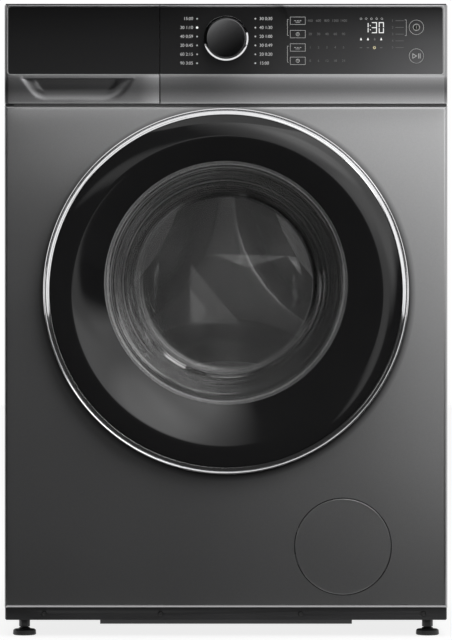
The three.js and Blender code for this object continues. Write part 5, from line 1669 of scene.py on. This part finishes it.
def build_flap():
    """The round service flap and the filter behind it."""
    low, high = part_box("service_flap")
    z = (low.z + high.z) / 2
    radius = (high.z - low.z) / 2
    x = low.x + radius
    path = [
        (0, low.y + 0.0002),
        (radius - 0.004, low.y + 0.0001),
        (radius - 0.0006, low.y),
        (radius, low.y + 0.0007),
        (radius, low.y + 0.003),
        (0, low.y + 0.003),
    ]
    bm = bmesh.new()
    turn(bm, rounded(path, 0.0004, 3), (x, 0, z), "Y", 96)
    hinge = low.x + 0.0049
    block(bm, (hinge - 0.0015, low.y + 0.0029, z - 0.014), (hinge + 0.009, low.y + 0.006, z + 0.014))
    tab = x + radius - 0.012
    block(bm, (tab, low.y + 0.0029, z - 0.007), (tab + 0.003, low.y + 0.0065, z + 0.007))
    add_piece("flap_disc", bm, "flap", "silver_paint", None, ["service_flap"], 35.0, True)
    dress("pump_filter", "grey_plastic", 0.0012)


def build_rear():
    """The rear: sheet, pressed cover, screws, inlet, gland and plugs for the transit holes."""
    dress("rear_panel", "galvanised", 0.0003)
    low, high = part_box("rear_access_cover")
    near = low.y
    rise = high.y - near
    bm = bmesh.new()
    verts = [bm.verts.new(corner) for corner in frame_corners((high.x, low.x), (low.z, high.z), near)]
    bm.faces.new(verts)
    bmesh.ops.bevel(bm, geom=verts, offset=0.07, segments=12, profile=0.5, affect="VERTICES", material=-1)
    raised = bmesh.ops.extrude_face_region(bm, geom=bm.faces[:], use_keep_orig=True)["geom"]
    bmesh.ops.translate(bm, vec=(0, 0.0008, 0), verts=only(raised, bmesh.types.BMVert))
    bmesh.ops.recalc_face_normals(bm, faces=bm.faces)
    top = only(raised, bmesh.types.BMFace)
    steps = (
        (0.022, 0),
        (0.002, 0.0014),
        (0.003, rise - 0.0038),
        (0.0025, 0.0016),
        (0.0225, 0),
        (0.004, -0.0025),
    )
    for width, height in steps:
        bmesh.ops.inset_region(bm, faces=top, thickness=width, depth=height, use_even_offset=True)
    add_piece("rear_cover_pressed", bm, "cabinet", "galvanised", None, ["rear_access_cover"])
    bm = bmesh.new()
    panel_low, panel_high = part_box("rear_panel")
    edge = 0.011
    heights = (low.z + 0.09, (low.z + high.z) / 2, high.z - 0.09)
    marks = [(x, z) for x in (low.x + edge, high.x - edge) for z in heights]
    marks += [(x, z) for x in (-0.12, 0.12) for z in (low.z + edge, high.z - edge)]
    cover = [(x, near + 0.0008, z) for x, z in marks]
    edges_x = (panel_low.x + 0.006, panel_high.x - 0.006)
    sides = [(x, panel_high.y, z) for x in edges_x for z in (0.06, 0.3, 0.55, 0.8)]
    for centre in cover + sides:
        turn(bm, [(0, 0.0012), (0.0014, 0.0022), (0.0034, 0.0017), (0.0042, 0), (0, 0)], centre, "Y", 20)
    add_piece("rear_screws", bm, "cabinet", "spring_steel")
    dress("inlet_valve", "white_plastic", 0.0006)
    dress("cable_gland", "matt_black", 0.0005)
    inlet_low, inlet_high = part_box("inlet_valve")
    x = (inlet_low.x + inlet_high.x) / 2
    bm = bmesh.new()
    neck = []
    root = 0.01325
    bore = 0.0129
    start = panel_high.y + 0.002
    ridge = 0
    while start + ridge < inlet_high.y - 0.0015:
        neck += [(root, start + ridge), (0.0141, start + ridge + 0.0006)]
        ridge += 0.0018
    neck += [(root, start + ridge), (bore, inlet_high.y - 0.0003), (bore, start)]
    turn(bm, neck, (x, 0, 0.785), "Y", 40, closed=True)
    add_piece("inlet_thread", bm, "cabinet", "white_plastic")
    bm = bmesh.new()
    plug = [(0, 0.0022), (0.009, 0.0022), (0.0125, 0.0012), (0.0135, 0.0001)]
    plug += [(0.0108, 0), (0.0104, -0.004), (0, -0.004)]
    for side in (-1, 1):
        for z in (0.26, 0.69):
            turn(bm, plug, (side * 0.225, panel_high.y, z), "Y", 32)
    add_piece("transit_plugs", bm, "cabinet", "white_plastic")


# ---------------------------------------------------------------- studio


def studio_floor():
    """A pale floor that keeps the machine's shadow."""
    finish = Finish("studio_floor")
    path = finish.node("ShaderNodeLightPath")
    outputs = path.socket.node.outputs
    seen = Value(finish, outputs["Is Camera Ray"]) + Value(finish, outputs["Is Glossy Ray"])
    seen = seen + Value(finish, outputs["Is Transmission Ray"])
    seen = finish.node("ShaderNodeClamp", None, {"Value": seen})
    grain = finish.noise(finish.place(), 30.0, 3.0)
    matt = finish.node("ShaderNodeBsdfDiffuse", None, {"Color": finish.mix(grain, (0.78,) * 3, (0.82,) * 3)})
    faint = finish.node("ShaderNodeBsdfDiffuse", None, {"Color": (0.24, 0.24, 0.24, 1)})
    glow = finish.node("ShaderNodeEmission", None, {"Color": (1, 1, 1, 1), "Strength": 0.82})
    pale = finish.node("ShaderNodeAddShader", None, {0: faint, 1: glow})
    material = finish.output(finish.blend(seen, matt, pale))
    bm = bmesh.new()
    bmesh.ops.create_grid(bm, x_segments=1, y_segments=1, size=12.0)
    floor = make_object("floor", bm, heal=False)
    floor.data.materials.append(material)


def disc(bm, centre, radius, segments=64, scale=(1, 1, 1)):
    """An upright round sheet, or an oval one by its scale."""
    place = Matrix.Translation(centre) @ Matrix.Diagonal((*scale, 1)) @ UPRIGHT
    bmesh.ops.create_circle(bm, cap_ends=True, segments=segments, radius=radius, matrix=place)


def gloss_card(name, bm, material):
    """A studio card that only shows in reflections."""
    card = make_object(name, bm, heal=False)
    card.data.materials.append(material)
    card.visible_camera = False
    card.visible_diffuse = False
    card.visible_shadow = False
    card.visible_transmission = True
    card.visible_volume_scatter = False


def studio_card():
    """A dark card in front of the machine, from the floor up."""
    finish = Finish("dark_card")
    where = finish.place()
    height = finish.part(where, "Z")
    level = finish.ramp(height / 2.0, [(0.0, 0.03), (0.209, 0.034), (0.213, 0.025), (1.0, 0.03)])
    material = finish.glow(level)
    profile = [(-0.30, 0.004), (-2.1, 0.004), (-2.6, 0.5), (-2.6, 3.4)]
    bm = bmesh.new()
    path = rounded(profile, [0, 0.5, 0.5, 0], 8)
    ribbon(bm, [(-3.6, y, z) for y, z in path], (7.0, 0, 0))
    gloss_card("dark_card", bm, material)


def black_flags():
    """Black flags: one along the left edge, and a half hoop over the knob."""
    finish = Finish("black_flag")
    cloud = finish.noise(finish.place(), 6.0, 2.0)
    tone = finish.mix(cloud, (0.002, 0.002, 0.002), (0.004, 0.004, 0.004))
    material = finish.glow(tone)
    centre = middle("program_knob")
    radius = 0.09
    bm = bmesh.new()
    block(bm, (-0.34, -0.275, 0.0), (-0.339, -0.235, 0.86))
    hoop = []
    for k in range(26):
        angle = math.radians(18 + 7 * k)
        hoop.append((radius * math.cos(angle), -0.31, centre.z + radius * math.sin(angle)))
    ribbon(bm, hoop, (0, 0.06, 0))
    gloss_card("black_flag", bm, material)


def knob_card():
    """A small graded card in front of the knob, bright at its upper left, which the cap shows."""
    low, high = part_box("program_knob")
    reach = 0.12
    share = 1 + reach / bpy.context.scene.washer_studio.distance
    eye = bpy.context.scene.washer_studio.eye_height
    centre = Vector((0, low.y - reach, eye + ((low.z + high.z) / 2 - eye) * share))
    finish = Finish("knob_card")
    where = finish.place(centre)
    up = finish.part(where, "Z")
    across = finish.part(where, "X")
    slope = up * 11.7 - across * 8.1 + 0.5
    level = finish.ramp(slope, [(0.05, 0.01), (0.2, 0.025), (0.5, 0.14), (0.8, 0.42), (0.97, 1.0)])
    material = finish.glow(level, 1.5)
    bm = bmesh.new()
    disc(bm, centre, 0.048, 32)
    gloss_card("knob_card", bm, material)


def knob_plate():
    """A white plate just under the knob, which its bright ring shows along the bottom."""
    finish = Finish("white_plate")
    cloud = finish.noise(finish.place(), 6.0, 2.0)
    tone = finish.mix(cloud, (0.9, 0.9, 0.9), (1.0, 1.0, 1.0))
    material = finish.glow(tone)
    bm = bmesh.new()
    block(bm, (-0.30, -0.345, 0.7195), (0.30, -0.268, 0.72))
    gloss_card("white_plate", bm, material)


def window_glints():
    """Small bright cards, which the glass shows as sharp glints and a pale half moon."""
    finish = Finish("glint_card")
    height = finish.part(finish.place(), "Z")
    cloud = finish.noise(finish.place(), 6.0, 2.0)
    tone = finish.ramp(height, [(0.34, 0.3), (0.4, 0.5), (0.425, 0.56), (0.427, 0.7)]) * (cloud * 0.4 + 0.8)
    material = finish.glow(tone, 1.8)
    shapes = (
        [(-0.029, 0.563), (0.123, 0.558), (0.046, 0.534)],
        [(0.126, 0.558), (0.185, 0.552), (0.18, 0.488)],
        [(0.022, 0.430), (0.043, 0.456), (0.073, 0.459), (0.066, 0.440), (0.045, 0.430)],
        [(-0.136, 0.424), (0.136, 0.424), (0.112, 0.386), (0.06, 0.352), (-0.06, 0.352), (-0.112, 0.386)],
    )
    bm = bmesh.new()
    for points in shapes:
        soft = rounded(points, (0.002, 0.016, 0.03)[max(0, len(points) - 4)], 4, True)
        bm.faces.new([bm.verts.new((x, -2.5, z)) for x, z in soft])
    gloss_card("glint_card", bm, material)


def round_light(level):
    """A large round soft light at the upper right, cut off along its lower right."""
    centre = Vector((1.03, -1.55, 1.5))
    radius = 1.25
    finish = Finish("round_light")
    where = finish.place(centre)
    away = finish.length(where)
    across = finish.part(where, "X")
    up = finish.part(where, "Z")
    stops = [(0.0, 0.74), (0.4, 0.8), (0.62, 1.0), (0.76, 0.95), (0.88, 0.5), (1.0, 0.0)]
    soft = finish.ramp(away / radius, stops)
    cut = finish.ramp((up - across) / 2.0 + 0.5, [(0.0, 0.0), (0.17, 1.0)])
    rise = finish.ramp(up + 0.5, [(0.1, 0.62), (0.45, 1.0)])
    spot = finish.place((0.42, centre.y, 1.1), (1 / 0.4, 1, 1 / 0.2))
    from_spot = finish.length(spot)
    lift = finish.ramp(from_spot, [(0.0, 0.66), (0.5, 0.62), (0.7, 0.34), (1.0, 0.0)])
    level = soft * cut * rise * (lift + 1.0) * (level * 1.6)
    material = finish.glow((1, 1, 1, 1), level)
    bm = bmesh.new()
    disc(bm, centre, radius)
    lamp = make_object("round_light", bm, heal=False)
    lamp.data.materials.append(material)
    lamp.visible_camera = False
    lamp.visible_shadow = False


def soft_card(name, centre, half, level):
    """A weak oval card that fades out towards its edges."""
    finish = Finish(name)
    where = finish.place(centre, [1 / value for value in half])
    away = finish.length(where)
    soft = finish.ramp(away, [(0.0, 1.0), (0.5, 0.9), (0.8, 0.4), (1.0, 0.0)])
    glow = finish.node("ShaderNodeEmission", None, {"Color": (1, 1, 1, 1), "Strength": level})
    clear = finish.node("ShaderNodeBsdfTransparent", None, {"Color": (1, 1, 1, 1)})
    material = finish.output(finish.blend(soft, clear, glow))
    bm = bmesh.new()
    disc(bm, centre, 1.0, 64, (half[0], 1, half[2]))
    gloss_card(name, bm, material)


def area_light(name, place, target, width, level):
    """A square soft lamp that points at a target and isn't seen itself."""
    data = bpy.data.lights.new(name, "AREA")
    data.size = width
    data.energy = level
    lamp = bpy.data.objects.new(name, data)
    bpy.context.scene.collection.objects.link(lamp)
    lamp.location = place
    lamp.rotation_euler = (Vector(target) - Vector(place)).to_track_quat("-Z", "Y").to_euler()
    lamp.visible_camera = False
    lamp.visible_glossy = False


def room_light(level):
    """The world: white where it is seen, softer where it lights matt surfaces."""
    world = bpy.data.worlds.new("studio_room")
    bpy.context.scene.world = world
    world.use_nodes = True
    nodes = world.node_tree.nodes
    links = world.node_tree.links
    nodes.clear()
    path = nodes.new("ShaderNodeLightPath")
    seen = path.outputs["Is Camera Ray"]
    for name in ("Is Glossy Ray", "Is Transmission Ray"):
        either = nodes.new("ShaderNodeMath")
        either.operation = "MAXIMUM"
        links.new(seen, either.inputs[0])
        links.new(path.outputs[name], either.inputs[1])
        seen = either.outputs[0]
    strength = nodes.new("ShaderNodeMapRange")
    strength.inputs["To Min"].default_value = level
    strength.inputs["To Max"].default_value = 1.0
    links.new(seen, strength.inputs["Value"])
    light = nodes.new("ShaderNodeBackground")
    light.inputs["Color"].default_value = (1, 1, 1, 1)
    links.new(strength.outputs["Result"], light.inputs["Strength"])
    out = nodes.new("ShaderNodeOutputWorld")
    links.new(light.outputs["Background"], out.inputs["Surface"])


def camera(settings):
    """The camera, square to the machine's front."""
    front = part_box("front_panel")[0].y
    data = bpy.data.cameras.new("camera")
    data.sensor_width = 36.0
    data.lens = 36.0 * settings.distance / settings.view_height
    data.clip_end = 60.0
    eye = bpy.data.objects.new("camera", data)
    bpy.context.scene.collection.objects.link(eye)
    eye.location = (0, front - settings.distance, settings.eye_height)
    eye.rotation_euler = (math.pi / 2, 0, 0)
    bpy.context.scene.camera = eye


# ---------------------------------------------------------------- operators and panel


class Builder:
    """What the building operators share."""

    bl_options = {"REGISTER", "UNDO"}

    def execute(self, context):
        self.build(context.scene)
        return {"FINISHED"}


class WASHER_OT_finishes(Builder, bpy.types.Operator):
    """Make every finish of the machine"""

    bl_idname = "washer.finishes"
    bl_label = "Finishes"

    def build(self, scene):
        make_finishes(scene.washer_colours)


class WASHER_OT_cabinet(Builder, bpy.types.Operator):
    """Build the front sheet, the side sheets and the worktop"""

    bl_idname = "washer.cabinet"
    bl_label = "Cabinet"

    def build(self, scene):
        build_front(scene.washer_cabinet)
        build_sides(scene.washer_cabinet)
        build_worktop()


class WASHER_OT_base(Builder, bpy.types.Operator):
    """Build the base rail's screws and the levelling feet"""

    bl_idname = "washer.base"
    bl_label = "Base and Feet"

    def build(self, scene):
        build_base()
        build_feet()


class WASHER_OT_console(Builder, bpy.types.Operator):
    """Build the console's frame, lens, trim and printed marks"""

    bl_idname = "washer.console"
    bl_label = "Console"

    def build(self, scene):
        build_fascia(scene.washer_console)
        build_marks(scene.washer_console)


class WASHER_OT_controls(Builder, bpy.types.Operator):
    """Build the program knob and the two push buttons"""

    bl_idname = "washer.controls"
    bl_label = "Knob and Buttons"

    def build(self, scene):
        build_knob()
        build_buttons(scene.washer_console)


class WASHER_OT_drawer(Builder, bpy.types.Operator):
    """Build the detergent drawer"""

    bl_idname = "washer.drawer"
    bl_label = "Drawer"

    def build(self, scene):
        build_drawer(scene.washer_console)


class WASHER_OT_door(Builder, bpy.types.Operator):
    """Build the door and the seal behind it"""

    bl_idname = "washer.door"
    bl_label = "Door"

    def build(self, scene):
        build_door(scene.washer_door)


class WASHER_OT_drum(Builder, bpy.types.Operator):
    """Build the drum and finish the tub round it"""

    bl_idname = "washer.drum"
    bl_label = "Drum and Tub"

    def build(self, scene):
        build_drum(scene.washer_drum)
        build_tub()


class WASHER_OT_service(Builder, bpy.types.Operator):
    """Build the service flap"""

    bl_idname = "washer.service"
    bl_label = "Service Flap"

    def build(self, scene):
        build_flap()


class WASHER_OT_rear(Builder, bpy.types.Operator):
    """Build the rear cover, its screws and the connections"""

    bl_idname = "washer.rear"
    bl_label = "Rear"

    def build(self, scene):
        build_rear()


class WASHER_OT_studio(Builder, bpy.types.Operator):
    """Set up the floor, the lights and the camera"""

    bl_idname = "washer.studio"
    bl_label = "Studio"

    def build(self, scene):
        settings = scene.washer_studio
        scene.view_settings.view_transform = "Standard"
        studio_floor()
        studio_card()
        round_light(settings.key_level)
        soft_card("upper_fill", (-0.08, -0.6, 0.685), (0.32, 0.01, 0.045), 0.7)
        soft_card("right_fill", (0.355, -0.9, 0.34), (0.065, 0.01, 0.32), 0.85)
        black_flags()
        knob_card()
        knob_plate()
        window_glints()
        area_light("top_light", (0.2, -0.6, 2.6), (0, 0, 0.5), 1.6, 22.0)
        area_light("drum_light", (0.03, -0.135, 0.5), (0, 0.1, 0.475), 0.16, 0.2)
        room_light(settings.fill_level)
        camera(settings)


STEPS = (
    WASHER_OT_finishes,
    WASHER_OT_cabinet,
    WASHER_OT_base,
    WASHER_OT_console,
    WASHER_OT_controls,
    WASHER_OT_drawer,
    WASHER_OT_door,
    WASHER_OT_drum,
    WASHER_OT_service,
    WASHER_OT_rear,
    WASHER_OT_studio,
)


class WASHER_PT_steps(bpy.types.Panel):
    """Lists the building steps and their sizes"""

    bl_idname = "WASHER_PT_steps"
    bl_label = "Front Loader"
    bl_space_type = "VIEW_3D"
    bl_region_type = "UI"
    bl_category = "Washer"

    def draw(self, context):
        layout = self.layout
        for step in STEPS:
            layout.operator(step.bl_idname)
        for name, group in GROUPS.items():
            box = layout.box()
            for key in group.__annotations__:
                box.prop(getattr(context.scene, name), key)


def register():
    """Adds the settings, the operators and the panel."""
    for name, group in GROUPS.items():
        bpy.utils.register_class(group)
        setattr(bpy.types.Scene, name, PointerProperty(type=group))
    for step in STEPS:
        bpy.utils.register_class(step)
    bpy.utils.register_class(WASHER_PT_steps)


def unregister():
    """Takes them away again."""
    bpy.utils.unregister_class(WASHER_PT_steps)
    for step in reversed(STEPS):
        bpy.utils.unregister_class(step)
    for name, group in reversed(GROUPS.items()):
        delattr(bpy.types.Scene, name)
        bpy.utils.unregister_class(group)


def main():
    """Builds the machine step by step."""
    register()
    for step in STEPS:
        group, name = step.bl_idname.split(".")
        getattr(getattr(bpy.ops, group), name)()


if __name__ == "__main__":
    main()
